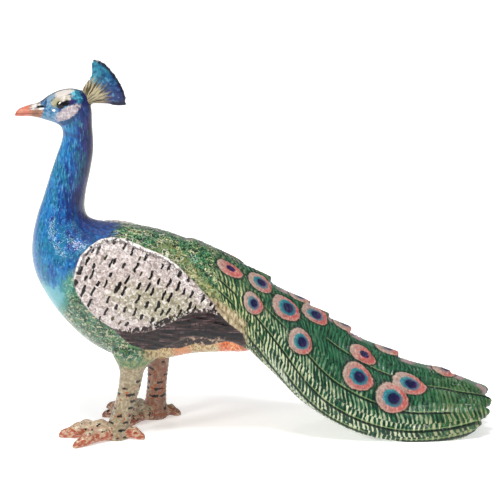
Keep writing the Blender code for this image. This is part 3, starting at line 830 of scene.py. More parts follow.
class Painter:
    """Paints the bird. Every coat of colour is a method that gives a colour, and masks say where it goes."""

    def __init__(self, sheet, colours, origin):
        self.sheet = sheet
        self.colours = colours
        place = sheet.node("ShaderNodeTexCoord", output="Object")
        self.spot = sheet.vectors("MULTIPLY_ADD", place, (1 / FIGURE_UNIT,) * 3, tuple(origin))
        self.x, self.y, self.z = sheet.parts(self.spot)
        self.wobble = sheet.noise(self.spot, 0.9, 3.0, 0.6) - 0.5
        self.fleck = sheet.noise(self.spot, 2.6, 2.0, 0.6) - 0.5
        inputs = {"Vector": self.spot, "Scale": 0.8, "Detail": 2.0}
        swirl = sheet.node("ShaderNodeTexNoise", None, inputs, output=1)
        self.warped = sheet.vectors("MULTIPLY_ADD", swirl, (2.0,) * 3, self.spot)
        self.bent = sheet.vectors("MULTIPLY_ADD", swirl, (0.9,) * 3, self.spot)
        self.height = self.fleck * 0.5
        self.marks = {}

    def mark(self, name):
        if name not in self.marks:
            self.marks[name] = self.sheet.mark(name)
        return self.marks[name]

    def emboss(self, height, mask):
        """Adds fine relief, in tenths of a figure unit, where the mask is."""
        self.height = self.height + height * mask

    def leaf(self, middle, half_long, half_wide, tilt):
        """How far out a place is in an oval seen from the side: 0 at its middle, 1 at its rim."""
        c, s = math.cos(math.radians(tilt)), math.sin(math.radians(tilt))
        x, z = self.x - middle[0], self.z - middle[1]
        long = (x * c + z * s) / half_long
        wide = (z * c - x * s) / half_wide
        return (long * long + wide * wide).maths("SQRT")

    def daub(self, colour, paint_colour, middle, half_long, half_wide, tilt, amount=1.0, rough=0.5):
        """A soft-edged dab of paint on both sides of the bird."""
        out = self.leaf(middle, half_long, half_wide, tilt) + (self.fleck + self.wobble * 0.5) * rough
        return self.sheet.cover(colour, paint_colour, out.rise(*DAB_EDGE) * amount)

    def daubs(self, colour, *rows):
        """Dabs laid over a colour one after another. Each row says what daub asks for."""
        for row in rows:
            colour = self.daub(colour, *row)
        return colour

    def strokes(self, factors, scale=1.0, seed=0.0):
        """Noise drawn out into brush strokes by unequal factors along the axes."""
        stretched = self.sheet.vectors("MULTIPLY", self.spot, factors)
        moved = self.sheet.vectors("ADD", stretched, (seed,) * 3)
        return self.sheet.noise(moved, scale, 2.0, 0.6)

    def curls(self, scale, seed, width):
        """Thin curling lines: 1 on them, 0 away from them."""
        moved = self.sheet.vectors("ADD", self.warped, (seed,) * 3)
        return abs(self.sheet.noise(moved, scale, 1.0, 0.5) - 0.5).rise(width, width * 0.4)

    def plumage_blue(self):
        """Head, neck and breast: cobalt and azure strokes down the neck, navy and violet along the nape, and
        a faint painted mauve sheen along the nape's edge.
        """
        sheet = self.sheet
        nape = self.mark("nape")
        broad = self.strokes((1.1, 1.1, 0.22)) - 0.5
        fine = self.strokes((3.4, 3.4, 0.55), seed=7.0)
        dabs = self.strokes((2.2, 2.2, 1.2), seed=17.0)
        low = self.z.rise(54, 42)
        shade = (nape * (1 - low * 0.65) + broad * 2.6 - low * 0.3) * 0.5 + 0.5
        colour = sheet.ramp(shade, (
            (0.05, paint(34, 124, 178)), (0.3, paint(24, 96, 160)), (0.52, tuple(self.colours.neck)),
            (0.72, paint(14, 34, 92)), (0.95, paint(18, 18, 60))))
        teal = self.strokes((0.5, 0.5, 0.25), seed=31.0) + low * 0.06
        colour = sheet.cover(colour, paint(24, 112, 132), teal.rise(0.50, 0.62) * nape.rise(1.0, 0.3) * 0.6)
        violet = self.strokes((0.8, 0.8, 0.3), seed=37.0).rise(0.5, 0.6) * nape.rise(0.2, 0.7) * (1 - low)
        colour = sheet.cover(colour, paint(58, 44, 118), violet * 0.6)
        marks = fine + (dabs - fine) * low * 0.7
        colour = sheet.coats(
            colour,
            (paint(98, 164, 198), marks.rise(0.54, 0.67) * nape.rise(1.0, 0.0) * 0.65),
            (paint(10, 34, 84), marks.rise(0.47, 0.36) * 0.8))
        rim = self.z.rise(38, 30) * self.x.rise(-28, -34)
        colour = sheet.cover(colour, paint(122, 188, 184), (rim + self.wobble).rise(0.35, 0.8) * 0.65)
        ring = abs((self.z - 64.4) / 0.6 + self.wobble * 2 + (self.x + 37.7) * 0.25)
        colour = sheet.cover(colour, paint(24, 40, 96), ring.rise(1.0, 0.4) * 0.5)
        # Painted sheen: a faint mauve-grey band along the edge of the nape stands in for the glaze's
        # reflection there.
        mauve = abs(nape - 0.86 + self.fleck * 0.06).rise(0.07, 0.02) * self.z.rise(60, 54)
        mauve = mauve * self.z.rise(38, 44) * self.strokes((2.0, 2.0, 0.3), seed=3.0).rise(0.44, 0.56)
        edge = (nape.most(nape * -0.955) + self.fleck * 0.02).rise(0.91, 0.95)
        edge = edge * (self.z + nape * -4).rise(40, 46)
        colour = sheet.coats(
            colour,
            (paint(128, 124, 160), mauve * 0.15),
            (paint(8, 14, 40), edge))
        self.emboss(marks - 0.5, self.z.rise(30, 36) * 3.0)
        return colour

    def plumage_green(self):
        """Back and belly: curling strokes of dark and bright green, yellow-green and cream, with painted
        highlights: white glint curls on the upper back and a pinkish-grey line along the ridge.
        """
        sheet = self.sheet
        tone = sheet.noise(self.warped, 1.1, 2.0, 0.6)
        patch = sheet.noise(self.spot, 0.45, 1.0, 0.5)
        colour = sheet.cover(paint(30, 92, 58), paint(84, 124, 72), patch.rise(0.42, 0.6))
        colour = sheet.cover(colour, paint(8, 36, 26), tone.rise(0.50, 0.42) * 0.92)
        bright = sheet.cover(paint(112, 166, 112), paint(216, 210, 164), patch.rise(0.46, 0.56))
        light = self.curls(1.25, 3.0, 0.055)
        colour = sheet.coats(
            colour,
            (bright, light * 0.85),
            (paint(6, 28, 20), self.curls(1.25, 23.0, 0.05) * 0.9))
        band = self.mark("wing").rise(-3.6, -1.2) * self.x.rise(-25, -17) * self.z.rise(24, 29)
        band = (band + self.wobble * 1.6).rise(0.35, 0.75)
        olive = sheet.cover(paint(128, 120, 64), paint(184, 172, 116), tone.rise(0.47, 0.56))
        olive = sheet.coats(
            olive,
            (paint(62, 92, 46), patch.rise(0.5, 0.42) * 0.6),
            (paint(26, 48, 26), self.curls(1.3, 43.0, 0.06) * 0.95))
        band = band * (patch + light * 0.3 + self.wobble).rise(0.75, 0.45)
        colour = sheet.cover(colour, olive, band * 0.85)
        # Painted highlight: thin white curls near the wing's top and high on the back stand in for glints on
        # the glaze.
        near = self.mark("wing").rise(-2.2, -0.6) * self.z.rise(36, 39)
        high = self.z.rise(41.5, 42.5) * self.z.rise(45.5, 44)
        glint = self.curls(0.5, 83.0, 0.022) * near.most(high * 0.8)
        colour = sheet.cover(colour, paint(232, 232, 220), glint * 0.65)
        self.emboss(light + glint + tone * 2.0 - 1.0, 1.2)
        belly = self.z.rise(33, 28) * self.x.rise(-20, -25)
        colour = sheet.cover(colour, self.belly(), belly)
        # Painted highlight: a streaked pinkish-grey line along the ridge stands in for rim light along it.
        ridge = abs(self.y).rise(1.6, 0.5) * self.x.rise(-30, -24)
        line = self.strokes((0.35, 2.4, 1.0), 1.0, 11.0)
        return sheet.cover(colour, paint(138, 122, 128), ridge * line.rise(0.46, 0.56) * 0.75)

    def belly(self):
        """Below the breast: teal and dark green, with cream and white strokes."""
        sheet = self.sheet
        wash = self.strokes((0.9, 0.9, 0.9), 1.0, 9.0)
        colour = sheet.cover(paint(82, 124, 104), paint(26, 66, 56), wash.rise(0.45, 0.58))
        light = sheet.noise(self.warped, 1.3, 2.0, 0.6)
        colour = sheet.coats(
            colour,
            (paint(192, 190, 152), light.rise(0.53, 0.6) * 0.8),
            (paint(104, 140, 70), light.rise(0.45, 0.38) * self.z.rise(30, 26) * 0.8))
        dark = self.curls(1.1, 5.0, 0.05)
        return sheet.cover(colour, paint(22, 38, 36), dark * 0.85)

    def plumage_rear(self, colour):
        """Cream, then orange, under the flight feathers behind the legs."""
        sheet = self.sheet
        low = (self.z + self.wobble * 1.6).rise(26.5, 25.5) * self.x.rise(-23.5, -21.5)
        grain = self.strokes((2.0, 0.8, 0.5), 1.0, 2.0)
        cream = sheet.cover(paint(196, 178, 134), paint(146, 112, 70), grain.rise(0.45, 0.6))
        orange = sheet.cover(paint(206, 96, 44), paint(214, 160, 108), grain.rise(0.54, 0.64))
        place = self.x + self.wobble * 2.5
        spread = place.rise(-8.0, -6.4).most(place.rise(-17.5, -16.0) * place.rise(-12.6, -13.8) * 0.55)
        under = sheet.cover(cream, orange, spread)
        under = sheet.cover(under, paint(70, 40, 36), grain.rise(0.43, 0.35) * 0.7)
        return sheet.cover(colour, under, low * (1 - self.mark("train")))

    def plumage_train(self):
        """The long feathers: dark shafts, and green barbs that turn cream towards the lower edge."""
        sheet = self.sheet
        strand, along, across = (self.mark(name) for name in ("strand", "along", "across"))
        row = strand.floor()
        offset = (strand.fraction() - SHAFT_PLACE) * self.mark("strand_width") + self.fleck * 0.2
        phase = along - offset.most(0.0) * BARB_SLANT + (-offset).most(0.0) * BARB_LEAN + self.wobble * 0.35
        sway = (across * 0.9 + along * 0.7).maths("SINE") * 0.11
        vary = sheet.noise(sheet.join(phase * 0.9, row * 7.7, across * 0.5), 1.0, 2.0, 0.6) - 0.5
        barbs = (phase / BARB_PITCH + sway).wave() * 0.5 + vary * 3.4
        hairs = sheet.noise(sheet.join(phase * 3.6, row * 3.1, across * 0.6), 1.0, 1.0, 0.5)
        low = (strand + self.wobble * 2.2).rise(1.7, 3.4)
        front = (along + self.wobble * 8).rise(30, 16)
        edge = (strand + self.wobble * 1.6).rise(4.35, 5.0) * along.rise(24, 34)
        end = (along + self.wobble * 7).rise(60, 70)
        base = sheet.cover(tuple(self.colours.train), paint(22, 70, 48), low * 0.9)
        base = sheet.cover(base, paint(58, 96, 48), (front * low).most(end) * 0.6)
        light = sheet.cover(paint(72, 130, 90), paint(208, 212, 174), low)
        light = sheet.coats(
            light,
            (paint(198, 194, 132), front * 0.7),
            (paint(142, 134, 90), end * 0.7))
        colour = sheet.cover(base, paint(5, 30, 20), barbs.rise(-0.2, -0.65) * 0.9)
        colour = sheet.coats(
            colour,
            (light, (barbs + low * 0.1).rise(0.12, 0.50) * (low * 0.58 + 0.34)),
            (paint(60, 128, 88), hairs.rise(0.55, 0.66) * (1 - low * 0.6) * 0.6),
            (paint(8, 40, 28), hairs.rise(0.45, 0.36) * 0.6),
            (paint(192, 202, 182), edge * 0.75 * barbs.rise(-0.6, 0.0)))
        shown = sheet.noise(sheet.join(along * 0.09, row * 5.3, 0.0), 1.0, 1.0, 0.5).rise(0.36, 0.46)
        colour = sheet.cover(colour, paint(5, 30, 18), abs(offset).rise(0.32, 0.18) * shown * 0.95)
        side = abs(offset + 0.38).rise(0.16, 0.06)
        colour = sheet.cover(colour, paint(128, 152, 96), side * shown * 0.6)
        ridge = abs(across).rise(1.5, 0.8) * along.rise(20, 26)
        mauve = (along * 0.16 + self.wobble).wave().rise(-0.4, 0.4)
        grey = sheet.cover(paint(92, 116, 100), paint(168, 138, 142), mauve)
        colour = sheet.cover(colour, grey, ridge * 0.8)
        self.emboss(barbs * 1.6 + side, self.mark("train"))
        return colour

    def eyespots(self, colour):
        """Beige and salmon rings round turquoise, with a navy heart, redder towards the feather's tip."""
        sheet = self.sheet
        ring = self.mark("ring") + self.fleck * 0.2 + self.wobble * 0.16
        core, tip = self.mark("core") * 0.88 + self.fleck * 0.35, self.mark("tip")
        red, blue = self.mark("red"), self.mark("blue")
        grain = self.strokes((2.4, 2.4, 1.4), 1.0, 51.0)
        warm = (tip * 0.75 + red * 0.75 - 0.3 + self.wobble * 1.2).rise(-0.35, 0.5)
        outer = sheet.cover(paint(160, 134, 124), tuple(self.colours.spot), warm)
        tipped = (tip * 0.8 + self.wobble * 2).rise(0.3, 0.7) * red * ring.rise(0.95, 0.7)
        outer = sheet.coats(
            outer,
            (paint(200, 50, 66), tipped * 0.55),
            (paint(206, 174, 160), grain.rise(0.53, 0.64) * 0.5),
            (paint(108, 74, 70), grain.rise(0.45, 0.36) * 0.55))
        bluer = (blue - tip * 0.5 + self.wobble * 1.4).rise(0.25, 0.8)
        inner = sheet.cover(paint(104, 114, 124), paint(40, 118, 126), bluer)
        inner = sheet.coats(
            inner,
            (paint(84, 154, 158), grain.rise(0.52, 0.6) * blue * (-tip + 0.2).rise(-0.2, 0.4) * 0.6),
            (paint(26, 50, 86), core.rise(1.5, 1.1) * 0.5))
        violet = (tip + self.wobble * 2).rise(0.0, 0.5)
        heart = sheet.cover(paint(12, 18, 58), paint(60, 20, 78), violet * 0.6)
        spot = sheet.cover(outer, inner, ring.rise(0.64, 0.54) * (blue * 4).least(1.0))
        spot = sheet.coats(
            spot,
            (heart, core.rise(1.1, 0.85)),
            (paint(176, 164, 140), abs(ring - 0.93).rise(0.07, 0.02) * 0.35))
        rimmed = sheet.cover(colour, paint(8, 34, 26), ring.rise(1.26, 1.06) * 0.8)
        self.emboss(grain * 2.0 - 1.0, ring.rise(1.0, 0.9))
        return sheet.cover(rimmed, spot, ring.rise(1.03, 0.95))

    def wing(self):
        """The wing coverts: pinkish grey, greenish in the middle, with slanting black dashes, creases drawn
        as painted highlights beside painted shadows, and a painted highlight along the top border with
        painted shade below it.
        """
        sheet = self.sheet
        depth = self.mark("wing")
        green = self.leaf((-19.0, 30.5), 14.0, 5.2, -18)
        green = (green + self.wobble * 1.2).rise(1.1, 0.4)
        colour = sheet.cover(tuple(self.colours.wing), paint(160, 154, 124), green * 0.9)
        mottle = sheet.noise(self.warped, 1.6, 2.0, 0.6)
        colour = sheet.coats(
            colour,
            (paint(112, 102, 92), mottle.rise(0.50, 0.39) * 0.65),
            (paint(228, 222, 218), mottle.rise(0.53, 0.63) * 0.75))
        border = depth.rise(4.0, 0.5) * self.z.rise(24, 34)
        # Painted highlights and shadows: white crinkle lines, with grey lines just beside them, stand in for
        # light and shade on the glaze's creases.
        crinkle_and_highlight = self.curls(1.0, 61.0, 0.035) * (border * 0.8 + 0.2)
        colour = sheet.coats(
            colour,
            (paint(244, 238, 236), crinkle_and_highlight * 0.85),
            (paint(96, 84, 82), self.curls(1.0, 61.4, 0.035) * (border * 0.7 + 0.12)))
        self.emboss(crinkle_and_highlight * 3.0 + mottle * 2.0 - 1.0, depth.rise(-0.1, 0.2))
        for pitch, seed, rarity in ((2.25, 0.0, 0.10), (3.3, 11.3, 0.6)):
            dash, lot = self.dashes(pitch, seed)
            ink = dash.rise(0.32, 0.21) * lot.rise(rarity, rarity + 0.04)
            colour = sheet.coats(
                colour,
                (paint(96, 88, 48), ink),
                (paint(14, 9, 12), ink * (1 - lot.rise(0.3, 0.2) * 0.5)))
        colour = sheet.cover(colour, paint(196, 178, 166), depth.rise(0.42, 0.12) * 0.6)
        top = self.z.rise(36, 39)
        # Painted shade: a dark line just inside the top border, below the painted highlight.
        lip_shade = abs(depth - 0.9 + self.fleck * 1.5 + self.wobble).rise(0.3, 0.1) * top
        colour = sheet.cover(colour, paint(70, 60, 60), lip_shade * 0.7)
        # Painted highlight: a crinkled white line along the wing's top border stands in for light on its
        # edge.
        lip_highlight = abs(depth - 0.45 + self.fleck * 1.2 + self.wobble * 0.8).rise(0.35, 0.12) * top
        lip_highlight = lip_highlight * self.strokes((1.3, 1.3, 1.3), seed=66.0).rise(0.40, 0.50)
        return sheet.cover(colour, paint(244, 240, 236), lip_highlight * 0.9)

    def dashes(self, pitch, seed):
        """Distance from a scatter of slanting dashes, and a random number for each of them."""
        sheet = self.sheet
        tilt = math.radians(65)
        c, s = math.cos(tilt), math.sin(tilt)
        x, _, z = sheet.parts(self.bent)
        long_pitch, wide_pitch = pitch * 1.2, pitch * 0.84
        grid = sheet.join((x * c + z * s) / long_pitch + seed, (z * c - x * s) / wide_pitch, 0.0)
        settings = {"feature": "F1", "voronoi_dimensions": "2D"}
        inputs = {"Vector": grid, "Scale": 1.0, "Randomness": 0.5}
        middle = sheet.node("ShaderNodeTexVoronoi", settings, inputs, output="Position")
        tint = sheet.node("ShaderNodeTexVoronoi", settings, inputs, output="Color")
        long, wide, _ = sheet.parts(sheet.vectors("SUBTRACT", grid, middle))
        lot = sheet.parts(tint)[0]
        stem = (abs(long * long_pitch) - 0.1 - lot * 0.75).most(0.0)
        side = wide * wide_pitch
        return (stem * stem + side * side).maths("SQRT") + self.fleck * 0.22, lot

    def flight(self):
        """The flight feathers: umber with black and mauve lines along them."""
        sheet = self.sheet
        run = self.strokes((0.28, 0.6, 1.7), 1.0, 6.0)
        colour = sheet.cover(paint(50, 32, 32), paint(8, 6, 10), run.rise(0.51, 0.43))
        colour = sheet.cover(colour, paint(112, 88, 90), run.rise(0.56, 0.66) * 0.7)
        dabs = self.strokes((1.4, 1.0, 0.9), 1.0, 16.0)
        colour = sheet.cover(colour, paint(14, 9, 12), dabs.rise(0.47, 0.38) * 0.8)
        inner = abs(self.z - 24.2 + (self.x + 8) * 0.12 + self.wobble * 0.8).rise(0.9, 0.4)
        inner = inner * self.x.rise(-17, -13)
        colour = sheet.cover(colour, paint(10, 8, 16), inner * 0.85)
        pale = self.z.rise(24.0, 23.2) * self.x.rise(-16, -12) * self.x.rise(-5, -8)
        tufts = self.strokes((0.9, 0.8, 0.6), 1.0, 26.0)
        return sheet.cover(colour, paint(178, 150, 124), pale * tufts.rise(0.5, 0.6) * 0.85)

    def leg(self):
        """The legs: cream, greenish above, with short black bars and rust marks. The right one, on the far
        side, is browner and darker: partly its own colour, partly painted shade.
        """
        sheet = self.sheet
        # The right (far) leg is painted browner and darker, partly its own colour and partly painted shade.
        right = self.y.rise(-1.0, 1.0)
        mottle = sheet.noise(self.warped, 1.4, 2.0, 0.6)
        colour = sheet.cover(tuple(self.colours.leg), paint(142, 104, 88), right)
        colour = sheet.coats(
            colour,
            (paint(194, 182, 154), mottle.rise(0.5, 0.62) * (0.5 - right * 0.2)),
            (paint(110, 92, 72), mottle.rise(0.46, 0.36) * 0.45))
        moss = sheet.cover(paint(70, 108, 78), paint(124, 138, 88), mottle.rise(0.45, 0.58))
        colour = sheet.cover(colour, moss, (self.z + self.wobble * 3).rise(15.6, 17.2) * 0.9)
        rust = self.strokes((1.0, 1.0, 1.3), 1.0, 8.0) + right * 0.04
        colour = sheet.cover(colour, paint(158, 78, 34), rust.rise(0.57, 0.65) * self.z.rise(13, 11) * 0.9)
        row = self.z / 1.55 + self.wobble * 0.9
        line = abs(row.fraction() - 0.5) + self.fleck * 0.1
        there = sheet.noise(sheet.join(self.x * 0.55, self.y * 0.55, row.floor() * 5.1), 1.0, 0.0, 0.5)
        bars = line.rise(0.20, 0.12) * there.rise(0.5, 0.57) * self.z.rise(14.6, 13.8)
        colour = sheet.cover(colour, paint(20, 15, 13), bars)
        self.emboss(mottle * 3.0 - 1.5, self.mark("leg"))
        return colour

    def toe(self):
        """The toes: salmon and cream strokes with black spots, paler on top (partly their own pale paint,
        partly painted highlight), and browner on the right, far foot (partly painted shade).
        """
        sheet = self.sheet
        wash = self.strokes((0.9, 1.8, 1.9), 1.0, 12.0)
        # The right (far) foot is browner, like its leg: partly its own colour, partly painted shade.
        right = self.y.rise(-1.0, 1.0)
        colour = sheet.cover(paint(166, 88, 64), paint(140, 92, 78), right)
        colour = sheet.coats(
            colour,
            (paint(190, 166, 138), wash.rise(0.49, 0.57) * 0.9),
            (paint(118, 60, 44), wash.rise(0.42, 0.34) * 0.7),
            # paler on top: partly the toes' own pale paint, partly painted highlight
            (paint(196, 200, 172), self.z.rise(1.9, 2.8) * 0.4))
        spots = self.strokes((1.15, 1.15, 1.5), 1.0, 21.0)
        self.emboss(wash * 3.0 - 1.5, self.mark("toe"))
        return sheet.cover(colour, paint(18, 13, 12), spots.rise(0.60, 0.65) * self.z.rise(0.8, 1.4))

    def crest(self):
        """The crest: a fan of cream shafts with brown gaps, and flags from teal in front to indigo behind."""
        sheet = self.sheet
        x, z = self.x - CREST_HUB[0], self.z - CREST_HUB[1]
        fan = (x * x + z * z).maths("SQRT")
        swing = sheet.maths("ARCTAN2", z, x) + self.wobble * 0.12
        around = sheet.noise(sheet.join(swing * 7.5, fan * 0.22), 1.0, 2.0, 0.6)
        ribs = (swing * (CREST_SHAFTS * 0.72) + self.wobble * 0.3).wave()
        low = sheet.cover(paint(76, 66, 44), paint(176, 164, 132), (around + ribs * 0.06).rise(0.43, 0.57))
        low = sheet.cover(low, paint(140, 118, 116), (swing.rise(0.3, 0.0) * fan.rise(3.0, 5.0)) * 0.7)
        flags = sheet.ramp((swing + self.wobble * 0.9) / 1.3, (
            (0.0, paint(44, 50, 108)), (0.3, paint(28, 50, 108)), (0.6, paint(20, 78, 122)),
            (0.95, paint(44, 128, 150))))
        mottle = sheet.noise(self.spot, 1.3, 2.0, 0.6)
        flags = sheet.coats(
            flags,
            (paint(12, 32, 76), mottle.rise(0.48, 0.38) * 0.7),
            (paint(92, 160, 184), mottle.rise(0.56, 0.68) * 0.55),
            (paint(10, 50, 84), around.rise(0.45, 0.36) * 0.5))
        reach = self.reach(swing) - fan
        edge = reach.rise(0.75, 0.3).most(swing.rise(0.12, 0.02) * fan.rise(4.5, 6.0))
        flags = sheet.cover(flags, paint(8, 14, 36), (edge + self.fleck * 0.3) * 0.9)
        self.emboss(around * 4.0 - 2.0, self.mark("crest"))
        limit = fan + ribs * 0.6 + self.fleck * 1.5 + swing.rise(0.5, 0.0) * 0.5
        return sheet.cover(low, flags, limit.rise(4.4, 6.5))

    @staticmethod
    def reach(swing):
        """The crest's rim, as in crest_reach, from a swing in radians."""
        return swing.rise(math.radians(30), math.radians(78)) * CREST_PEAK + CREST_RADIUS

    def head(self, colour):
        """White brow and cheek, teal crown, pale lores with a small painted highlight, and the eye in its
        black line.
        """
        sheet = self.sheet
        grain = self.strokes((1.6, 1.6, 1.6), seed=71.0)
        lores = sheet.cover(paint(74, 124, 158), paint(120, 160, 184), grain.rise(0.5, 0.62))
        lores = sheet.cover(lores, paint(34, 66, 104), grain.rise(0.44, 0.34) * 0.7)
        teal = sheet.cover(paint(24, 108, 138), paint(74, 164, 186), grain.rise(0.5, 0.62))
        teal = sheet.cover(teal, paint(16, 62, 104), grain.rise(0.46, 0.38) * 0.8)
        white = sheet.cover(paint(172, 158, 162), paint(204, 196, 194), grain.rise(0.47, 0.58))
        white = sheet.cover(white, paint(140, 128, 138), grain.rise(0.43, 0.35) * 0.45)
        cream = sheet.cover(paint(170, 160, 132), paint(204, 192, 184), grain.rise(0.42, 0.56))
        colour = self.daubs(
            colour,
            (lores, (-42.0, 69.4), 2.1, 2.3, 0, 0.9),
            (paint(96, 128, 150), (-42.6, 67.6), 1.8, 0.6, -14, 0.6, 0.8),
            (paint(16, 34, 84), (-35.4, 71.6), 1.6, 1.3, -50, 0.8, 0.9),
            (teal, (-36.3, 72.2), 1.6, 1.05, -55, 0.95, 1.0),
            (paint(100, 188, 200), (-37.0, 73.0), 0.6, 0.35, -40, 0.8),
            (paint(20, 52, 92), (-38.0, 67.6), 3.2, 0.8, 32, 0.8),
            (white, (-38.2, 69.1), 3.0, 1.15, 32, 0.95, 0.9),
            (cream, (-39.4, 71.8), 2.2, 1.0, 20, 0.9, 1.1),
            (paint(150, 146, 96), (-40.6, 71.2), 1.1, 0.8, 50, 0.6, 1.8),
            (paint(208, 200, 192), (-38.9, 73.0), 2.4, 0.55, 16, 0.9, 1.0),
            (paint(124, 152, 172), (-41.6, 72.0), 1.1, 0.5, 35, 0.85, 0.9),
            (paint(40, 32, 92), (-37.0, 71.3), 1.0, 0.5, 20, 0.85, 0.9),
            (paint(8, 7, 16), (-38.3, 71.15), 0.8, 0.55, 25, 1.0, 0.4),
            # painted highlight: a small white glint on the lores
            (paint(236, 240, 244), (-40.9, 69.6), 0.34, 0.26, 0, 0.95, 0.3))
        crown = abs(self.y).rise(0.75, 0.4) * self.z.rise(69.0, 69.6)
        crown = crown * self.x.rise(-34.6, -35.4) * self.x.rise(-48.0, -47.0)
        return sheet.cover(colour, paint(28, 30, 44), crown * (self.fleck + 0.5).rise(0.34, 0.44) * 0.9)

    def beak(self, colour):
        """The beak: white above with a black nostril and a painted highlight on it, brown at its root and
        salmon towards its tip.
        """
        sheet = self.sheet
        grain = self.strokes((0.7, 1.6, 2.6), seed=33.0)
        root = (self.x + self.wobble * 1.6).rise(-46.6, -45.0)
        above = (self.z + self.fleck * 0.4 - (self.x + 44) * 0.14).rise(69.35, 69.75)
        above = above * self.x.rise(-46.6, -45.2)
        white = sheet.cover(paint(138, 126, 118), paint(212, 206, 200), grain.rise(0.43, 0.56))
        mouth = abs(self.z - 68.55 - (self.x + 46) * 0.05).rise(0.2, 0.06)
        body = sheet.coats(
            paint(198, 110, 90),
            (paint(140, 98, 74), root),
            (paint(198, 146, 124), grain.rise(0.5, 0.6) * 0.6),
            (white, above),
            (paint(110, 52, 44), mouth * 0.6))
        start = (self.x + abs(self.z - 69.2) * 0.45 + self.fleck * 0.5).rise(-42.9, -43.3)
        return self.daubs(
            sheet.cover(colour, body, start),
            (paint(30, 56, 92), (-42.7, 70.6), 0.9, 0.28, 80, 0.85, 0.3),
            (paint(14, 12, 16), (-43.8, 70.1), 0.95, 0.26, 12, 1.0, 0.25),
            # painted highlight: a white glint on the nostril
            (paint(238, 236, 232), (-43.5, 69.72), 0.6, 0.16, 14, 0.9, 0.2))

    def eye(self, colour):
        """A black eye with a pale catchlight."""
        x, _, z = EYE_PLACE
        return self.daubs(
            colour,
            (paint(8, 7, 10), (x, z), 0.88, 0.82, 0, 1.0, 0.15),
            (paint(220, 216, 196), (x - 0.1, z + 0.42), 0.34, 0.14, 40, 0.9, 0.1))

    def bird(self):
        """All coats, from the widest to the smallest."""
        sheet = self.sheet
        ridge = self.z - self.x * 0.85 + self.wobble * 5.0 + self.z.rise(36, 31) * self.x.rise(-36, -41) * 6
        colour = sheet.cover(self.plumage_green(), self.plumage_blue(), ridge.rise(67.6, 69.8))
        teal = ridge.rise(63.5, 67.0) * ridge.rise(71.0, 68.0) * self.z.rise(40, 34)
        colour = sheet.cover(colour, paint(60, 146, 140), teal * 0.6)
        colour = self.plumage_rear(colour)
        rear = self.mark("train") * self.mark("along").rise(7, 14)
        colour = sheet.cover(colour, self.plumage_train(), (rear + self.wobble * 0.8).rise(0.35, 0.75))
        bare = (1 - self.mark("leg")).rise(0.4, 0.6) * self.z.rise(16, 18)
        above = self.z + (self.x + 11) * 0.5625 - 27.0
        seam = (self.mark("flight") + self.fleck * 2).rise(-1.7, -1.3) * above.rise(-0.2, 0.4) * bare
        seam = seam * self.x.rise(-11, -8) * self.x.rise(-0.8, -2.4)
        slants = self.strokes((2.0, 0.8, 0.7), 1.0, 4.0)
        pale = sheet.cover(paint(168, 150, 116), paint(96, 78, 52), slants.rise(0.46, 0.36))
        pale = sheet.cover(pale, paint(212, 200, 168), slants.rise(0.54, 0.62) * 0.8)
        colour = sheet.cover(colour, pale, seam)
        tail = above.rise(-0.2, 0.8) * self.x.rise(-9, -5) * 0.9 + self.x.rise(-2.4, -0.8) * 2
        dip = self.x.rise(-20, -14) * self.x.rise(-5, -11) * above.rise(0.0, -1.0) * 2.1
        quills = (self.mark("flight") + dip - tail + self.fleck * 0.5).rise(-0.1, 0.1)
        colour = sheet.cover(colour, self.flight(), quills * bare)
        notch = self.strokes((2.3, 1.0, 0.7), 1.0, 2.5).rise(0.44, 0.54)
        jag = self.z.rise(31.5, 28.5) * self.x.rise(-30, -25) * notch
        coverts = self.mark("wing") - jag * 1.5 - self.x.rise(-8, -4) + self.fleck * 0.3
        colour = sheet.cover(colour, self.wing(), coverts.rise(-0.08, 0.1) * bare)
        colour = self.eyespots(colour)
        colour = sheet.coats(
            colour,
            (self.leg(), (self.mark("leg") + self.wobble * 0.4).rise(0.4, 0.6) * self.z.rise(19.0, 17.0)),
            (self.toe(), self.mark("toe").rise(0.35, 0.65)))
        colour = self.head(colour)
        colour = self.beak(colour)
        colour = self.eye(colour)
        return sheet.cover(colour, self.crest(), self.mark("crest").rise(0.3, 0.6))


def glazed(colours, origin):
    """The finished surface: hand-painted colours under a clear, glossy and slightly uneven glaze."""
    sheet = Sheet("painted glaze")
    painter = Painter(sheet, colours, origin)
    colour = painter.bird()
    bumps = {"Strength": BRUSH_STRENGTH, "Distance": BRUSH_DEPTH * FIGURE_UNIT, "Height": painter.height}
    relief = sheet.node("ShaderNodeBump", None, bumps)
    rough = painter.fleck * GLAZE_UNEVENNESS + GLAZE_ROUGHNESS
    inputs = {"Base Color": colour, "Roughness": rough, "Normal": relief, "IOR": GLAZE_IOR}
    surface = sheet.node("ShaderNodeBsdfPrincipled", None, inputs)
    sheet.node("ShaderNodeOutputMaterial", None, {0: surface})
    return sheet.material


def plain(name, colour, rough, glow):
    """A plain matt surface with a faint, even grain, lit a little from below like a light table."""
    sheet = Sheet(name)
    place = sheet.node("ShaderNodeTexCoord", output="Object")
    tone = sheet.noise(place, 6.0, 3.0, 0.5)
    shade = sheet.cover(colour, tuple(value * 0.985 for value in colour), tone)
    inputs = {"Base Color": shade, "Roughness": rough, "Emission Color": colour, "Emission Strength": glow}
    surface = sheet.node("ShaderNodeBsdfPrincipled", None, inputs)
    sheet.node("ShaderNodeOutputMaterial", None, {0: surface})
    return sheet.material


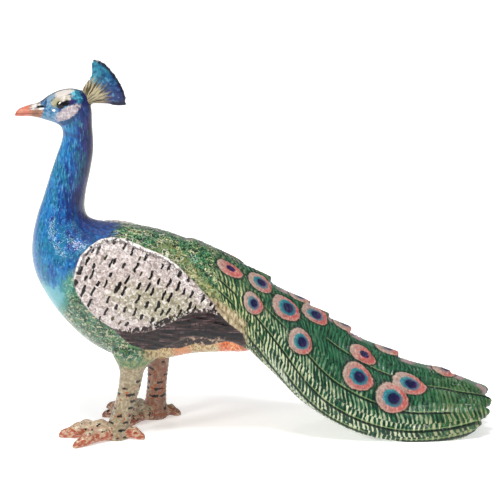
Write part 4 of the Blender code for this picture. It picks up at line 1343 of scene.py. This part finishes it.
class FigureSettings(bpy.types.PropertyGroup):
    """How finely the bird is carved, and its main colours."""

    grain: FloatProperty(name="Grain", description="Size of the smallest facet of the skin",
                         default=0.00036, min=0.0002, max=0.002, unit="LENGTH")
    relief: FloatProperty(name="Relief", description="Depth of the carved feathers, as a share",
                          default=1.0, min=0.0, max=2.0, subtype="FACTOR")
    neck: FloatVectorProperty(name="Neck", description="Main blue of the neck", size=3,
                              default=paint(16, 60, 130), min=0.0, max=1.0, subtype="COLOR")
    train: FloatVectorProperty(name="Train", description="Main green of the long feathers", size=3,
                               default=paint(18, 74, 48), min=0.0, max=1.0, subtype="COLOR")
    spot: FloatVectorProperty(name="Eyespots", description="Outer ring of the eyespots", size=3,
                              default=paint(178, 94, 88), min=0.0, max=1.0, subtype="COLOR")
    wing: FloatVectorProperty(name="Wing", description="Ground colour of the wing coverts", size=3,
                              default=paint(190, 174, 170), min=0.0, max=1.0, subtype="COLOR")
    leg: FloatVectorProperty(name="Leg", description="Ground colour of the left leg", size=3,
                             default=paint(144, 130, 104), min=0.0, max=1.0, subtype="COLOR")


class StageSettings(bpy.types.PropertyGroup):
    """The floor, the light and the camera."""

    floor: FloatVectorProperty(name="Floor", description="Colour of the floor", size=3,
                               default=(0.90, 0.90, 0.90), min=0.0, max=1.0, subtype="COLOR")
    glow: FloatProperty(name="Floor Glow", description="Brightness of the light table below the floor",
                        default=0.5, min=0.0)
    sky: FloatProperty(name="Fill Light", description="Brightness of the light from all sides",
                       default=0.35, min=0.0)
    lamps: FloatProperty(name="Lamps", description="Power of the main lamp",
                         default=4.8, min=0.0, subtype="POWER")
    soft: FloatProperty(name="Soft Box", description="Power of the large lamp overhead", default=2.0, min=0.0,
                        subtype="POWER")


class PEACOCK_OT_bird(bpy.types.Operator):
    """Model, fuse, carve and paint the bird"""

    bl_idname = "peacock.bird"
    bl_label = "Bird"

    def execute(self, context):
        settings = context.scene.peacock_figure
        clay, kinds = model_forms()
        skin = fuse(clay, settings.grain / FIGURE_UNIT)
        if not len(skin.vertices):
            raise RuntimeError("the forms did not fuse")
        edges = edges_of(skin)
        points = soften(points_of(skin), edges, 2, 0.4)
        put_points(skin, points)
        marks = survey(points, kinds, edges)
        lift = settings.relief * (carve(points, marks) + carve_head(points))
        points = points + normals_of(skin) * lift[:, None]
        points[:, 2] = np.maximum(points[:, 2], 0.0)
        forms = np.vstack(clay.points)
        low, high = (Vector(corner) / FIGURE_UNIT for corner in CAD_BOX)
        middle = (forms.min(axis=0) + forms.max(axis=0)) / 2
        origin = (middle[0] - (low.x + high.x) / 2, middle[1] - (low.y + high.y) / 2, 0.0)
        put_points(skin, (points - origin) * FIGURE_UNIT)
        for name, values in marks.items():
            layer = skin.attributes.new(name, "FLOAT", "POINT")
            layer.data.foreach_set("value", values.astype(np.float32))
        skin.shade_smooth()
        skin.materials.clear()
        skin.materials.append(glazed(settings, origin))
        bird = bpy.data.objects.new("painted_peacock", skin)
        context.scene.collection.objects.link(bird)
        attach(bird, "root")
        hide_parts("peacock")
        return {"FINISHED"}


# Lamps that make the highlights: place, width, and power as a share of the main lamp's
LAMPS = (
    ((-0.10, -0.32, 0.84), 0.20, 1.0),
    ((-0.60, -0.45, 0.45), 0.14, 0.45),
    ((0.50, -0.30, 0.60), 0.12, 0.12),
    ((-0.15, 0.50, 0.70), 0.12, 0.12),
)


class PEACOCK_OT_stage(bpy.types.Operator):
    """Lay the pale floor and set up the lamps and the camera"""

    bl_idname = "peacock.stage"
    bl_label = "Stage"

    def execute(self, context):
        settings = context.scene.peacock_stage
        floor_mesh = bpy.data.meshes.new("floor")
        corners = [(x * FLOOR_HALF, y * FLOOR_HALF, 0) for x, y in ((-1, -1), (1, -1), (1, 1), (-1, 1))]
        floor_mesh.from_pydata(corners, [], [(0, 1, 2, 3)])
        floor_mesh.materials.append(plain("pale floor", tuple(settings.floor), 0.6, settings.glow))
        floor = bpy.data.objects.new("floor", floor_mesh)
        floor.location.z = -FLOOR_DROP
        context.scene.collection.objects.link(floor)
        self.light(context, "soft box", *SOFT_BOX, settings.soft)
        for number, (place, width, share) in enumerate(LAMPS):
            self.light(context, f"lamp {number}", place, width, settings.lamps * share)
        self.sky(context, settings.sky)
        self.camera(context)
        context.scene.view_settings.view_transform = "Standard"
        return {"FINISHED"}

    @staticmethod
    def light(context, name, place, size, power):
        """A square lamp that looks at the middle of the bird."""
        lamp = bpy.data.lights.new(name, "AREA")
        lamp.size = size
        lamp.energy = power
        item = bpy.data.objects.new(name, lamp)
        item.location = place
        item.rotation_euler = (Vector(LOOK_AT) - item.location).to_track_quat("-Z", "Y").to_euler()
        context.scene.collection.objects.link(item)

    @staticmethod
    def sky(context, strength):
        world = bpy.data.worlds.new("studio")
        world.use_nodes = True
        background = world.node_tree.nodes["Background"]
        background.inputs["Color"].default_value = (1.0, 1.0, 1.0, 1.0)
        background.inputs["Strength"].default_value = strength
        context.scene.world = world

    @staticmethod
    def camera(context):
        """The camera: about 45 cm away and 15 degrees above the bird, with a long lens."""
        view = POSE_VIEW
        tilt = math.radians(view["height"])
        target = Vector((view["side"] + FIGURE_SHIFT[0], FIGURE_SHIFT[1], view["up"])) * FIGURE_UNIT
        reach = view["distance"] * FIGURE_UNIT
        camera = bpy.data.cameras.new("camera")
        camera.sensor_width = 36.0
        camera.lens = camera.sensor_width * view["distance"] / (IMAGE_WIDTH * view["pixel"])
        camera.clip_start = 0.01
        item = bpy.data.objects.new("camera", camera)
        item.location = target + Vector((0, -math.cos(tilt), math.sin(tilt))) * reach
        item.rotation_euler = (target - item.location).to_track_quat("-Z", "Y").to_euler()
        context.scene.collection.objects.link(item)
        context.scene.camera = item


class PEACOCK_PT_panel(bpy.types.Panel):
    """The steps in the sidebar"""

    bl_label = "Peacock"
    bl_idname = "PEACOCK_PT_panel"
    bl_space_type = "VIEW_3D"
    bl_region_type = "UI"
    bl_category = "Peacock"

    def draw(self, context):
        for operator in (PEACOCK_OT_bird, PEACOCK_OT_stage):
            self.layout.operator(operator.bl_idname)
        for group in (context.scene.peacock_figure, context.scene.peacock_stage):
            for name in group.bl_rna.properties.keys()[2:]:
                self.layout.prop(group, name)


CLASSES = (FigureSettings, StageSettings, PEACOCK_OT_bird, PEACOCK_OT_stage, PEACOCK_PT_panel)


def register():
    for item in CLASSES:
        bpy.utils.register_class(item)
    bpy.types.Scene.peacock_figure = PointerProperty(type=FigureSettings)
    bpy.types.Scene.peacock_stage = PointerProperty(type=StageSettings)


def unregister():
    del bpy.types.Scene.peacock_stage
    del bpy.types.Scene.peacock_figure
    for item in reversed(CLASSES):
        bpy.utils.unregister_class(item)


def main():
    register()
    bpy.ops.peacock.bird()
    bpy.ops.peacock.stage()


if __name__ == "__main__":
    main()
